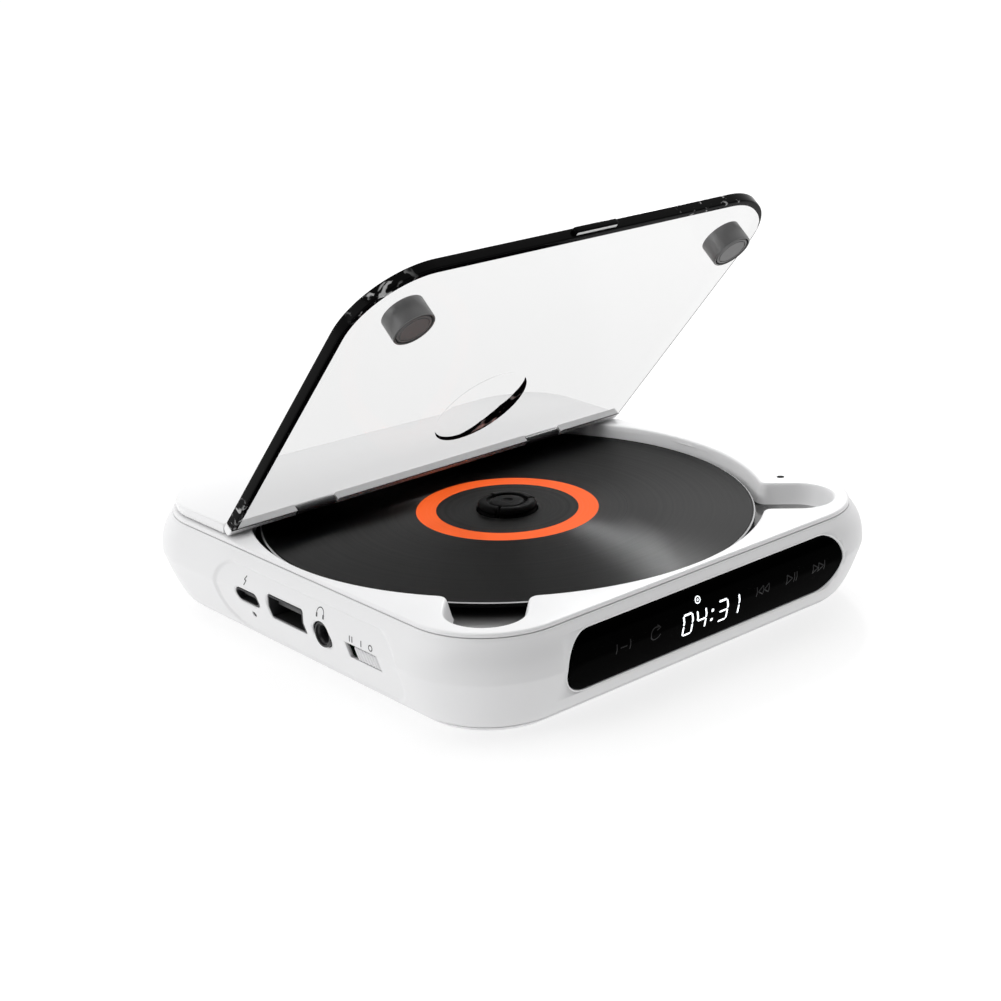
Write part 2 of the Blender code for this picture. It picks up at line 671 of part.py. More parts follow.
def make_pickup(dark, steel, glass, brass):
    """The laser sled on its two rails, with the lead screw that drives it and the motor on its end."""
    sled_pivot = pivot("sled_pivot", (LENS_REST_X, 0, RAIL_Z))
    low = (-9.6 * MM, -16.6 * MM, -1.5 * MM)
    high = (6.5 * MM, 22.6 * MM, 1.9 * MM)
    sled = block("pickup_sled", low, high, dark, sled_pivot)
    turret_profile = [(5.0 * MM, 1.0 * MM), (5.0 * MM, 3.4 * MM), (4.0 * MM, 3.9 * MM)]
    join(sled, turned("lens_turret", turret_profile, (0, 0), 24, None, sled_pivot, True))
    for name, y, radius in (("front", -RAIL_Y, 1.2), ("rear", RAIL_Y, 1.2), ("nut", SCREW_Y, 1.25)):
        bore = circle((y, 0), radius * MM, 12)
        cut(sled, prism(f"sled_bore_{name}", bore, -0.03, 0.03, None, sled_pivot, True, "X"))
    seat = prism("lens_seat", circle((0, 0), 2.4 * MM), 3.0 * MM, 5.0 * MM, None, sled_pivot, True)
    cut(sled, seat)
    lens_profile = ((2.1, 3.3), (2.1, 4.0), (1.4, 4.25), (0.5, 4.4))
    turned("pickup_lens", [(r * MM, z * MM) for r, z in lens_profile], (0, 0), 20, glass, sled_pivot)
    far_end = RAIL_X[1] + 0.6 * MM
    for name, y in (("front", -RAIL_Y), ("rear", RAIL_Y)):
        rod = circle((y, RAIL_Z), 1.0 * MM, 12)
        prism(f"guide_rail_{name}", rod, RAIL_X[0] - 0.8 * MM, far_end, steel, axis="X")
    rod = circle((SCREW_Y, RAIL_Z), 1.0 * MM, 12)
    prism("lead_screw", rod, RAIL_X[0] - 1.6 * MM, far_end, brass, axis="X")
    can = circle((SCREW_Y, RAIL_Z), 2.5 * MM, 16)
    prism("sled_motor", can, RAIL_X[0] - 12.5 * MM, RAIL_X[0] - 1.9 * MM, steel, axis="X")


def make_electronics(green, blue, dark):
    block("main_board", (-44 * MM, -57 * MM, 5.0 * MM), (44 * MM, -26 * MM, 6.2 * MM), green)
    block("processor_chip", (-6 * MM, -46 * MM, 6.5 * MM), (6 * MM, -34 * MM, 7.7 * MM), dark)
    outline = rectangle((29 * MM, 4.2 * MM), (54 * MM, 10.8 * MM), 2.4 * MM, 3)
    prism("battery_pack", outline, -31 * MM, 31 * MM, blue, axis="X")


# ---------------------------------------------------------------- assembly


clear_scene()

WHITE = finish("case_white", (0.86, 0.86, 0.87), 0.25)
DECK_WHITE = finish("deck_white", (0.88, 0.88, 0.89), 0.30)
CLEAR = finish("lid_clear", (0.95, 0.96, 0.97), 0.02, transmission=0.95)
LENS_BLACK = finish("lens_black", (0.006, 0.006, 0.007), 0.06)
SOFT_BLACK = finish("soft_black", (0.02, 0.02, 0.022), 0.45)
HUB_BLACK = finish("hub_black", (0.012, 0.012, 0.013), 0.32)
DISC_BLACK = finish("disc_print", (0.02, 0.02, 0.021), 0.35)
CUP_GREY = finish("cup_grey", (0.32, 0.32, 0.33), 0.40, 0.6)
STEEL = finish("steel", (0.60, 0.60, 0.62), 0.30, 1.0)
BRASS = finish("brass", (0.78, 0.60, 0.30), 0.32, 1.0)
RUBBER = finish("rubber", (0.03, 0.03, 0.03), 0.80)
BOARD_GREEN = finish("board_green", (0.02, 0.16, 0.07), 0.50)
CELL_BLUE = finish("cell_blue", (0.08, 0.22, 0.50), 0.45)
LIGHT_WHITE = finish("light_pipe", (0.9, 0.9, 0.9), 0.20)
LENS_GLASS = finish("pickup_glass", (0.75, 0.82, 0.95), 0.05, transmission=0.9)

make_bottom_cover(WHITE)
make_feet(RUBBER)
make_case_screws(STEEL)
make_side_housing(WHITE)
make_top_deck(DECK_WHITE)
make_lid_sensor(SOFT_BLACK)
make_catch_plates(STEEL)
make_rear_plate(DECK_WHITE)
make_hinge_brackets(SOFT_BLACK, STEEL)
make_lid(CLEAR, CUP_GREY, SOFT_BLACK)
make_display(LENS_BLACK, SOFT_BLACK, BOARD_GREEN)
make_ports(STEEL, SOFT_BLACK, BOARD_GREEN, LIGHT_WHITE)
make_switch(WHITE, SOFT_BLACK)
make_chassis(STEEL, RUBBER)
make_spindle(SOFT_BLACK, STEEL, HUB_BLACK, DISC_BLACK)
make_pickup(SOFT_BLACK, STEEL, LENS_GLASS, BRASS)
make_electronics(BOARD_GREEN, CELL_BLUE, SOFT_BLACK)
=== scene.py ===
import json
import math

import bmesh
import bpy
from mathutils import Matrix, Vector


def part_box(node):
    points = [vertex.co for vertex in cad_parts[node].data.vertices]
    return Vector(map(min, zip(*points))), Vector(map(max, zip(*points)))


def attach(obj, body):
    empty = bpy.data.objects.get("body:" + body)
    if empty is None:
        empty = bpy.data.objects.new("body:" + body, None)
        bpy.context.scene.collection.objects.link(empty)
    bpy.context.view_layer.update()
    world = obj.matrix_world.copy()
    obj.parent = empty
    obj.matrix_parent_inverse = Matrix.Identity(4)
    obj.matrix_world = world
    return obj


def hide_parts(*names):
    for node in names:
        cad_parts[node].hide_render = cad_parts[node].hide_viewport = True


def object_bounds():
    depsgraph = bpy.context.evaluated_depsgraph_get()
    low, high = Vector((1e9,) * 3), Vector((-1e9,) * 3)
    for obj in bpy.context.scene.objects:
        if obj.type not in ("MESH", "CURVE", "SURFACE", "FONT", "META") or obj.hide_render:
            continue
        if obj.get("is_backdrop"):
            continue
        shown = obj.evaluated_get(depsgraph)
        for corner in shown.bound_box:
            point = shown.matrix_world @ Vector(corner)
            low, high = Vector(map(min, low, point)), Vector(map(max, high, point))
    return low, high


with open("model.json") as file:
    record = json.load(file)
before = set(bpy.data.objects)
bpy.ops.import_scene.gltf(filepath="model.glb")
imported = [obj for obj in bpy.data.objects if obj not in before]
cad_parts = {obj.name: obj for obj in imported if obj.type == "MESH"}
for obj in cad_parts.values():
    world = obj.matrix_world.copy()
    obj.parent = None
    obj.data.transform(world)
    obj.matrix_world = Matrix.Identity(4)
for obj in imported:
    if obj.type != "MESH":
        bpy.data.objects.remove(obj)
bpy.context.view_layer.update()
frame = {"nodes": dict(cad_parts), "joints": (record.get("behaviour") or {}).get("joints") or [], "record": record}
MM = 0.001

# ---------------------------------------------------------------- studio
# A long lens looks down on the left front corner; the player stands on a plain
# pale floor under soft panels, in a room that is brighter at the back than in front.
AZIMUTH = math.radians(-40.19)
ELEVATION = math.radians(19.62)
ROLL = math.radians(-2.22)

back = Vector(
    (
        math.sin(AZIMUTH) * math.cos(ELEVATION),
        -math.cos(AZIMUTH) * math.cos(ELEVATION),
        math.sin(ELEVATION),
    )
)
level = Vector((math.cos(AZIMUTH), math.sin(AZIMUTH), 0))
lift = back.cross(level)
right = level * math.cos(ROLL) + lift * math.sin(ROLL)
up = back.cross(right)
camera = bpy.data.objects.new("studio_camera", bpy.data.cameras.new("studio_camera"))
camera.data.lens = 68.9
camera.data.sensor_width = 36
camera.matrix_world = Matrix.Translation((-0.2850, -0.3349, 0.1808)) @ Matrix(
    (right, up, back)
).transposed().to_4x4()
bpy.context.scene.collection.objects.link(camera)
bpy.context.scene.camera = camera
bpy.context.scene.view_settings.view_transform = "Standard"

room = bpy.data.worlds.new("white_room")
room.use_nodes = True
room_nodes, room_links = room.node_tree.nodes, room.node_tree.links
direction = room_nodes.new("ShaderNodeTexCoord")
toward_back = room_nodes.new("ShaderNodeVectorMath")
toward_back.operation = "DOT_PRODUCT"
toward_back.inputs[1].default_value = (0.30, 1.0, 0.5)
from_front = room_nodes.new("ShaderNodeMapRange")
from_front.inputs["From Min"].default_value = -1.1
from_front.inputs["From Max"].default_value = 1.1
brightness = room_nodes.new("ShaderNodeValToRGB")
stops = brightness.color_ramp.elements
stops[0].position, stops[0].color = 0.28, (0.03, 0.03, 0.03, 1)
stops[1].position, stops[1].color = 0.54, (0.98, 0.98, 0.98, 1)
middle_stop = stops.new(0.42)
middle_stop.color = (0.35, 0.35, 0.35, 1)
room_links.new(direction.outputs["Generated"], toward_back.inputs[0])
room_links.new(toward_back.outputs["Value"], from_front.inputs["Value"])
room_links.new(from_front.outputs["Result"], brightness.inputs["Fac"])
room_links.new(brightness.outputs["Color"], room_nodes["Background"].inputs["Color"])
room_nodes["Background"].inputs["Strength"].default_value = 1.22
bpy.context.scene.world = room


def soft_panel(name, place, size, power):
    """A square lamp aimed at the middle of the player."""
    data = bpy.data.lights.new(name, "AREA")
    data.shape = "RECTANGLE"
    data.size, data.size_y = size
    data.energy = power
    lamp = bpy.data.objects.new(name, data)
    lamp.location = place
    lamp.rotation_euler = (Vector(place) - Vector((0, 0, 0.02))).to_track_quat("Z", "Y").to_euler()
    bpy.context.scene.collection.objects.link(lamp)


soft_panel("top_panel", (0.05, 0.15, 0.75), (0.5, 0.5), 0.15)
soft_panel("left_panel", (-0.85, 0.20, 0.35), (0.4, 0.4), 0.9)
soft_panel("groove_panel", (0.46, 0.31, 0.39), (0.05, 0.05), 0.85)


def add_mesh(name, points, faces, materials, smooth_angle=35):
    mesh = bpy.data.meshes.new(name)
    mesh.from_pydata([tuple(p) for p in points], [], faces)
    tidy = bmesh.new()
    tidy.from_mesh(mesh)
    bmesh.ops.remove_doubles(tidy, verts=tidy.verts, dist=0.000002)
    bmesh.ops.recalc_face_normals(tidy, faces=tidy.faces)
    tidy.to_mesh(mesh)
    tidy.free()
    mesh.shade_smooth()
    mesh.set_sharp_from_angle(angle=math.radians(smooth_angle))
    for material in materials:
        mesh.materials.append(material)
    piece = bpy.data.objects.new(name, mesh)
    bpy.context.scene.collection.objects.link(piece)
    return piece


def nodes_of(name):
    """A new material, its node tree's adder and linker, and its Principled shader."""
    material = bpy.data.materials.new(name)
    material.use_nodes = True
    tree = material.node_tree
    return material, tree.nodes.new, tree.links.new, tree.nodes["Principled BSDF"]


def speckled(name, colour, other, roughness, scale, bump=0.02, metallic=0.0, specular=0.5):
    """A moulded or cast surface: its colour drifts a little, and a fine grain breaks up its gloss."""
    material, add, link, shader = nodes_of(name)
    place = add("ShaderNodeTexCoord")
    drift = add("ShaderNodeTexNoise")
    drift.inputs["Scale"].default_value = scale * 0.04
    drift.inputs["Detail"].default_value = 3
    blend = add("ShaderNodeMix")
    blend.data_type = "RGBA"
    blend.inputs["A"].default_value = (*colour, 1)
    blend.inputs["B"].default_value = (*other, 1)
    grain = add("ShaderNodeTexNoise")
    grain.inputs["Scale"].default_value = scale
    grain.inputs["Detail"].default_value = 4
    spread = add("ShaderNodeMapRange")
    spread.inputs["To Min"].default_value = roughness * 0.94
    spread.inputs["To Max"].default_value = roughness * 1.06
    if bump:
        relief = add("ShaderNodeBump")
        relief.inputs["Strength"].default_value = bump
        relief.inputs["Distance"].default_value = 0.0001
        link(grain.outputs["Fac"], relief.inputs["Height"])
        link(relief.outputs["Normal"], shader.inputs["Normal"])
    link(place.outputs["Object"], drift.inputs["Vector"])
    link(place.outputs["Object"], grain.inputs["Vector"])
    link(drift.outputs["Fac"], blend.inputs["Factor"])
    link(blend.outputs["Result"], shader.inputs["Base Color"])
    link(grain.outputs["Fac"], spread.inputs["Value"])
    if bump:
        link(spread.outputs["Result"], shader.inputs["Roughness"])
    else:
        shader.inputs["Roughness"].default_value = roughness
    shader.inputs["Metallic"].default_value = metallic
    shader.inputs["Specular IOR Level"].default_value = specular
    return material


floor_paint = speckled("pale_floor", (0.44, 0.44, 0.44), (0.46, 0.46, 0.46), 0.9, 40, 0.0, specular=0.0)
floor_shader = floor_paint.node_tree.nodes["Principled BSDF"]
floor_shader.inputs["Emission Color"].default_value = (1, 1, 1, 1)
floor_shader.inputs["Emission Strength"].default_value = 0.62
floor = add_mesh(
    "studio_floor",
    [(-80, -80, 0), (80, -80, 0), (80, 80, 0), (-80, 80, 0)],
    [(0, 1, 2, 3)],
    [floor_paint],
)
floor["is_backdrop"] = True

# ---------------------------------------------------------------- side band
# The white band round the body, moulded in one piece. It bulges like a pebble,
# with a faintly sunk panel on the left for the sockets and a round-ended window in front.
deck_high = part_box("top_deck")[1]
band_low, band_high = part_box("side_housing")
lens_low, lens_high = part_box("display_lens")
HALF_X = deck_high.x
HALF_Y = deck_high.y
CORNER = 19.9 * MM
BULGE = band_high.x - HALF_X
BULGE_Z = 14.5 * MM
SEAM_Z = band_high.z + 0.15 * MM
BASE_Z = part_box("bottom_cover")[0].z
TUCK = 7.84 * MM
SKIN = 1.5 * MM
PANEL_Y = (-41.0 * MM, 28.5 * MM)
PANEL_Z = (3.2 * MM, 20.9 * MM)
PANEL_ROUND = 8.0 * MM
PANEL_SINK = 0.5 * MM

white_gloss = speckled("white_gloss_moulding", (0.80, 0.80, 0.805), (0.79, 0.79, 0.797), 0.38, 90, 0.0)


def bulge_at(z):
    """How far the side stands outside the seam's outline at a height."""
    if z >= BULGE_Z:
        return BULGE * (1 - min(1, (z - BULGE_Z) / (SEAM_Z - BULGE_Z)) ** 2.55)
    drop = min(1, (BULGE_Z - z) / (BULGE_Z - BASE_Z))
    return BULGE - TUCK * (1 - (1 - drop) ** (1 / 1.89))


def rounded_square(half_x, half_y, radius, corner_steps, side_steps):
    """Points round a rounded rectangle, anticlockwise from the right side's lower end."""
    points = []
    corners = (
        ((half_x - radius, half_y - radius), 0, side_steps[0]),
        ((radius - half_x, half_y - radius), 90, side_steps[1]),
        ((radius - half_x, radius - half_y), 180, side_steps[2]),
        ((half_x - radius, radius - half_y), 270, side_steps[3]),
    )
    for (x, y), start, steps in corners:
        for i in range(corner_steps):
            turn = math.radians(start + 90 * i / corner_steps)
            points.append((x + radius * math.cos(turn), y + radius * math.sin(turn)))
        turn = math.radians(start + 90)
        first = Vector((x + radius * math.cos(turn), y + radius * math.sin(turn)))
        length = 2 * (half_y if start in (90, 270) else half_x) - 2 * radius
        along = Vector((-math.sin(turn), math.cos(turn)))
        points += [tuple(first + along * (length * i / steps)) for i in range(steps)]
    return points


def join_rows(rows, closed=False, cap_first=False, cap_last=False):
    """Points and faces of a skin through rows of equal length."""
    count = len(rows[0])
    faces = []
    last = len(rows) if closed else len(rows) - 1
    for r in range(last):
        low, high = r * count, ((r + 1) % len(rows)) * count
        for i in range(count):
            j = (i + 1) % count
            faces.append((low + i, low + j, high + j, high + i))
    if cap_first:
        faces.append(tuple(reversed(range(count))))
    if cap_last:
        faces.append(tuple((len(rows) - 1) * count + i for i in range(count)))
    return [p for row in rows for p in row], faces


def smooth_step(value):
    value = max(0.0, min(1.0, value))
    return value * value * (3 - 2 * value)


def panel_sink(y, z):
    """The depth of the sunk socket panel at a place on the left side, with a soft edge."""
    middle_y, middle_z = sum(PANEL_Y) / 2, sum(PANEL_Z) / 2
    dy = abs(y - middle_y) - ((PANEL_Y[1] - PANEL_Y[0]) / 2 - PANEL_ROUND)
    dz = abs(z - middle_z) - ((PANEL_Z[1] - PANEL_Z[0]) / 2 - PANEL_ROUND)
    outside = math.hypot(max(dy, 0), max(dz, 0)) + min(max(dy, dz), 0) - PANEL_ROUND
    return PANEL_SINK * smooth_step(0.5 - outside / (0.8 * MM))


def band_row(offset, z, inset=0.0):
    grow = offset - inset
    row = rounded_square(HALF_X + grow, HALF_Y + grow, CORNER + grow, 22, (8, 200, 8, 8))
    sunk = []
    for x, y in row:
        if x < 0 and abs(y) < HALF_Y - CORNER - 0.1 * MM:
            x += panel_sink(y, z) if inset == 0 else 0
        sunk.append((x, y, z))
    return sunk


LIP = 0.25 * MM
heights = [band_low.z + LIP + (band_high.z - 2 * LIP - band_low.z) * i / 60 for i in range(61)]
edge_rows = []
for i in range(4):
    turn = math.radians(90 * i / 4)
    z = band_low.z + LIP * (1 - math.sin(turn))
    edge_rows.append(band_row(bulge_at(heights[0]) - LIP * (1 - math.cos(turn)), z))
rim_rows = []
for i in range(1, 5):
    turn = math.radians(90 * i / 4)
    z = heights[-1] + LIP * math.sin(turn)
    rim_rows.append(band_row(bulge_at(heights[-1]) - LIP * (1 - math.cos(turn)), z))
outer_rows = list(reversed(edge_rows[1:])) + [band_row(bulge_at(z), z) for z in heights] + rim_rows
inner_rows = [band_row(bulge_at(z), z, SKIN) for z in reversed(heights[::4])]
side_band = add_mesh("side_band", *join_rows(outer_rows + inner_rows, closed=True), [white_gloss])
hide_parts("side_housing")
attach(side_band, "case")


def round_slot(centre, length, height, steps=14):
    """The outline of a slot with full-round ends, anticlockwise."""
    points = []
    for side, start in ((1, -90), (-1, 90)):
        for i in range(steps + 1):
            turn = math.radians(start + 180 * i / steps)
            points.append(
                (
                    centre[0] + side * (length - height) / 2 + height / 2 * math.cos(turn),
                    centre[1] + height / 2 * math.sin(turn),
                )
            )
    return points


def round_box(centre, length, height, radius, steps=6):
    points = []
    for x, z, start in ((1, 1, 0), (-1, 1, 90), (-1, -1, 180), (1, -1, 270)):
        for i in range(steps + 1):
            turn = math.radians(start + 90 * i / steps)
            points.append(
                (
                    centre[0] + x * (length / 2 - radius) + radius * math.cos(turn),
                    centre[1] + z * (height / 2 - radius) + radius * math.sin(turn),
                )
            )
    return points


def grown(outline, distance):
    """A closed outline moved outwards by a distance along its own normals."""
    moved = []
    count = len(outline)
    for i, point in enumerate(outline):
        before, after = outline[i - 1], outline[(i + 1) % count]
        way = Vector((after[0] - before[0], after[1] - before[1])).normalized()
        moved.append((point[0] + way.y * distance, point[1] - way.x * distance))
    return moved


def skin_point(side, u, z, inset=0.0):
    """A place on the band's outside: u is x on the front, and y on the left side."""
    if side == "front":
        return Vector((u, -(HALF_Y + bulge_at(z)) + inset, z))
    return Vector((-(HALF_X + bulge_at(z)) + panel_sink(u, z) + inset, u, z))


def through_band(name, side, outline):
    """Cuts an outline through the band."""
    near, far = -80 * MM, -59 * MM
    rows = []
    for depth in (near, far):
        rows.append([(u, depth, z) if side == "front" else (depth, u, z) for u, z in outline])
    cutter = add_mesh(name, *join_rows(rows, cap_first=True, cap_last=True), [])
    change = side_band.modifiers.new(name, "BOOLEAN")
    change.operation = "DIFFERENCE"
    change.solver = "EXACT"
    change.object = cutter
    bpy.context.view_layer.objects.active = side_band
    bpy.ops.object.modifier_apply(modifier=name)
    bpy.data.objects.remove(cutter)


def rounded_lip(name, side, outline, radius, material=white_gloss):
    """The moulded, rounded edge of an opening: a ring whose top meets the band's outside."""
    rows = []
    for i in range(12):
        turn = 2 * math.pi * i / 12
        shifted = grown(outline, radius - radius * math.cos(turn))
        rows.append([skin_point(side, u, z, radius - radius * math.sin(turn)) for u, z in shifted])
    lip = add_mesh(name, *join_rows(rows, closed=True), [material], 60)
    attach(lip, "case")
    through_band(f"{name}_cut", side, grown(outline, radius))
    return lip


window_centre = ((lens_low.x + lens_high.x) / 2, (lens_low.z + lens_high.z) / 2)
WINDOW_LENGTH = lens_high.x - lens_low.x
WINDOW_HEIGHT = lens_high.z - lens_low.z
window_gap = 0.12 * MM
window_outline = round_slot(
    window_centre, WINDOW_LENGTH + 2 * window_gap, WINDOW_HEIGHT + 2 * window_gap, 24
)


def long_sided(outline, step=2.5 * MM):
    """The outline with points added along its long straight sides."""
    points = []
    for i, start in enumerate(outline):
        end = outline[(i + 1) % len(outline)]
        count = max(1, round(math.dist(start, end) / step))
        for k in range(count):
            points.append(tuple(Vector(start).lerp(Vector(end), k / count)))
    return points


# The window's lip is a brighter white than the band it is moulded with: a painted highlight along the opening's
# rounded edge.
lip_painted_highlight = speckled("window_lip_painted_highlight", (0.93, 0.93, 0.93), (0.91, 0.91, 0.91), 0.2, 900, 0.0)
rounded_lip("window_lip", "front", long_sided(window_outline), 0.42 * MM, lip_painted_highlight)

# ---------------------------------------------------------------- sockets and switch
# Metal socket shells and a black jack sit in rounded openings of the sunk panel. Small
# pad-printed marks tell them apart, and a ribbed white knob slides in a square slot.
usb_c_low, usb_c_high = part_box("usb_c_shell")
usb_a_low, usb_a_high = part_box("usb_a_shell")
jack_low, jack_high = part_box("headphone_jack")
light_low, light_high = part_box("charge_light")
knob_low, knob_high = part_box("switch_knob")


def middle(low, high):
    return ((low.y + high.y) / 2, (low.z + high.z) / 2)


usb_c_at = middle(usb_c_low, usb_c_high)
usb_a_at = middle(usb_a_low, usb_a_high)
jack_at = middle(jack_low, jack_high)
light_at = middle(light_low, light_high)
SLOT_Y = (knob_low.y - 0.3 * MM, knob_low.y + 10.8 * MM)
slot_at = (sum(SLOT_Y) / 2, (knob_low.z + knob_high.z) / 2)

rounded_lip("usb_c_lip", "left", long_sided(round_slot(usb_c_at, 9.4 * MM, 3.6 * MM)), 0.3 * MM)
rounded_lip("usb_a_lip", "left", long_sided(round_box(usb_a_at, 13.8 * MM, 6.2 * MM, 0.8 * MM)), 0.3 * MM)
rounded_lip("jack_lip", "left", round_slot(jack_at, 6.42 * MM, 6.4 * MM, 20), 0.3 * MM)
rounded_lip("light_lip", "left", round_slot(light_at, 1.42 * MM, 1.4 * MM, 10), 0.12 * MM)
slot_outline = round_box(slot_at, SLOT_Y[1] - SLOT_Y[0], 4.0 * MM, 0.35 * MM, 4)
rounded_lip("slot_lip", "left", long_sided(slot_outline), 0.12 * MM)


def turned_along_x(name, centre, profile, material, sides=48):
    """A ring turned about a line along X: profile gives (radius, x)."""
    rows = []
    for radius, x in profile:
        row = []
        for i in range(sides):
            turn = 2 * math.pi * i / sides
            row.append((x, centre[0] + radius * math.cos(turn), centre[1] + radius * math.sin(turn)))
        rows.append(row)
    return add_mesh(name, *join_rows(rows, cap_last=True), [material], 40)


jack_black = speckled("jack_black_moulding", (0.012, 0.012, 0.013), (0.02, 0.02, 0.021), 0.34, 1500, 0.02)
jack_x = skin_point("left", *jack_at).x + 0.12 * MM
jack_profile = [
    (3.05, 11.0), (3.05, 0.3), (2.95, 0.08), (2.7, 0.0), (2.5, 0.05), (2.4, 0.5), (2.1, 0.5), (2.0, 0.65),
    (1.85, 1.0), (1.8, 3.0), (1.8, 10.5), (0.3, 10.9),
]
jack = turned_along_x(
    "headphone_socket", jack_at, [(r * MM, jack_x + x * MM) for r, x in jack_profile], jack_black
)
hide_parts("headphone_jack")
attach(jack, "case")

plated = speckled(
    "plated_socket_steel", (0.06, 0.06, 0.062), (0.045, 0.045, 0.047), 0.35, 700, 0.02, metallic=0.6
)
tongue_black = speckled("tongue_black", (0.05, 0.05, 0.052), (0.065, 0.065, 0.067), 0.40, 1200, 0.02)


def socket_shell(name, node, outline, wall, sink, depth, back):
    """A folded metal shell whose mouth follows the band's outside, blind at its far end."""
    rows = []
    for inset, run in (
        (0.0, depth), (0.0, 0.1 * MM), (0.06 * MM, 0.02 * MM), (wall, 0.0), (wall, 0.08 * MM)
    ):
        shape = long_sided(grown(outline, -inset))
        rows.append([skin_point("left", u, z, sink + run) for u, z in shape])
    shape = long_sided(grown(outline, -wall))
    rows.append([skin_point("left", u, z, sink + depth - back) for u, z in shape])
    shell = add_mesh(name, *join_rows(rows, cap_first=True, cap_last=True), [plated], 40)
    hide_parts(node)
    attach(shell, "case")


socket_shell(
    "usb_c_sleeve", "usb_c_shell", round_slot(usb_c_at, 9.0 * MM, 3.2 * MM), 0.32 * MM, 0.12 * MM, 7.0 * MM,
    1 * MM
)
usb_a_outline = round_box(usb_a_at, 13.4 * MM, 5.8 * MM, 0.5 * MM)
socket_shell("usb_a_sleeve", "usb_a_shell", usb_a_outline, 0.35 * MM, 0.15 * MM, 12.6 * MM, 1 * MM)
for name in ("usb_c_tongue", "usb_a_tongue"):
    frame["nodes"][name].data.materials.clear()
    frame["nodes"][name].data.materials.append(tongue_black)

light_pipe = speckled("dark_light_pipe", (0.03, 0.03, 0.032), (0.05, 0.05, 0.052), 0.25, 500, 0.02)
light_x = skin_point("left", *light_at).x
light_profile = [(0.62, 2.0), (0.62, 0.35), (0.55, 0.22), (0.3, 0.15), (0.05, 0.13)]
light = turned_along_x(
    "charge_lamp", light_at, [(r * MM, light_x + x * MM) for r, x in light_profile], light_pipe, 24
)
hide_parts("charge_light")
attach(light, "case")

# The knob: a rounded white block with seven soft ribs across its face.
RIBS = 7
knob_rows = []
knob_steps = RIBS * 8
knob_half_z = (knob_high.z - knob_low.z) / 2
for i in range(knob_steps + 1):
    share = i / knob_steps
    y = knob_low.y + (knob_high.y - knob_low.y) * share
    wave = 0.5 - 0.5 * math.cos(2 * math.pi * share * RIBS)
    rib = 0.45 * MM * (1 - wave**0.5)
    rise = [(knob_high.x, y, slot_at[1] - knob_half_z)]
    for height, sink in (
        (-1.0, 0.30), (-0.97, 0.10), (-0.88, 0.0), (-0.3, 0.0), (0.3, 0.0), (0.88, 0.0), (0.97, 0.10),
        (1.0, 0.30)
    ):
        z = slot_at[1] + height * knob_half_z
        rise.append((skin_point("left", y, z, -0.10 * MM + sink * MM + rib).x, y, z))
    rise.append((knob_high.x, y, slot_at[1] + knob_half_z))
    knob_rows.append(rise)
knob_white = speckled("knob_white", (0.74, 0.74, 0.75), (0.70, 0.70, 0.71), 0.4, 1200, 0.0)
knob = add_mesh("ribbed_knob", *join_rows(knob_rows, cap_first=True, cap_last=True), [knob_white], 40)
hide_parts("switch_knob")
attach(knob, "switch_knob")

mark_ink = speckled("grey_print", (0.05, 0.05, 0.055), (0.075, 0.075, 0.08), 0.5, 1500, 0.0)


def stroke(points, width):
    """The outline of an open line drawn with a pen of the given width."""
    left, rear = [], []
    for i, point in enumerate(points):
        before = points[max(i - 1, 0)]
        after = points[min(i + 1, len(points) - 1)]
        way = Vector((after[0] - before[0], after[1] - before[1])).normalized()
        side = Vector((-way.y, way.x)) * width / 2
        left.append((point[0] + side.x, point[1] + side.y))
        rear.append((point[0] - side.x, point[1] - side.y))
    return left, rear


def fine_line(points, step=0.35 * MM):
    """The line with points added, so that print laid on a curved face stays on it."""
    finer = []
    for start, end in zip(points, points[1:]):
        count = max(1, round(math.dist(start, end) / step))
        finer += [tuple(Vector(start).lerp(Vector(end), k / count)) for k in range(count)]
    return finer + [points[-1]]


def printed_strokes(name, side, strokes, material, proud=0.02 * MM, inset=0.0):
    """Ink lines laid on the band or the window: each stroke is (points, width), with (u, z) points."""
    points, faces = [], []
    for line, width in strokes:
        left, rear = stroke(fine_line(line), width)
        first = len(points)
        for pair in zip(left, rear):
            points += [skin_point(side, u, z, inset - proud) for u, z in pair]
        for i in range(len(left) - 1):
            a = first + 2 * i
            faces.append((a, a + 1, a + 3, a + 2))
    return add_mesh(name, points, faces, [material])


def arc(centre, radius, start, end, steps=16):
    turns = [math.radians(start + (end - start) * i / steps) for i in range(steps + 1)]
    return [(centre[0] + radius * math.cos(t), centre[1] + radius * math.sin(t)) for t in turns]


def shifted(points, centre):
    return [(centre[0] + x * MM, centre[1] + z * MM) for x, z in points]


bolt_at = (usb_c_at[0] + 0.2 * MM, usb_c_at[1] + 4.2 * MM)
phones_at = (jack_at[0], jack_at[1] + 5.2 * MM)
marks_at = slot_at[1] + 3.3 * MM
port_marks = [
    (shifted([(-0.5, 1.2), (0.35, 0.15)], bolt_at), 0.28 * MM),
    (shifted([(0.4, 0.15), (-0.4, 0.05)], bolt_at), 0.28 * MM),
    (shifted([(-0.35, 0.05), (0.5, -1.2)], bolt_at), 0.28 * MM),
    (arc(phones_at, 1.25 * MM, -10, 190), 0.22 * MM),
    (shifted([(-1.2, -0.15), (-1.2, -1.1)], phones_at), 0.55 * MM),
    (shifted([(1.2, -0.15), (1.2, -1.1)], phones_at), 0.55 * MM),
    (arc((SLOT_Y[0] + 1.9 * MM, marks_at), 0.62 * MM, 0, 360, 24), 0.26 * MM),
    ([(SLOT_Y[0] + 5.2 * MM, marks_at - 0.7 * MM), (SLOT_Y[0] + 5.2 * MM, marks_at + 0.7 * MM)], 0.30 * MM),
    ([(SLOT_Y[0] + 8.4 * MM, marks_at - 0.7 * MM), (SLOT_Y[0] + 8.4 * MM, marks_at + 0.7 * MM)], 0.30 * MM),
    ([(SLOT_Y[0] + 9.3 * MM, marks_at - 0.7 * MM), (SLOT_Y[0] + 9.3 * MM, marks_at + 0.7 * MM)], 0.30 * MM),
]
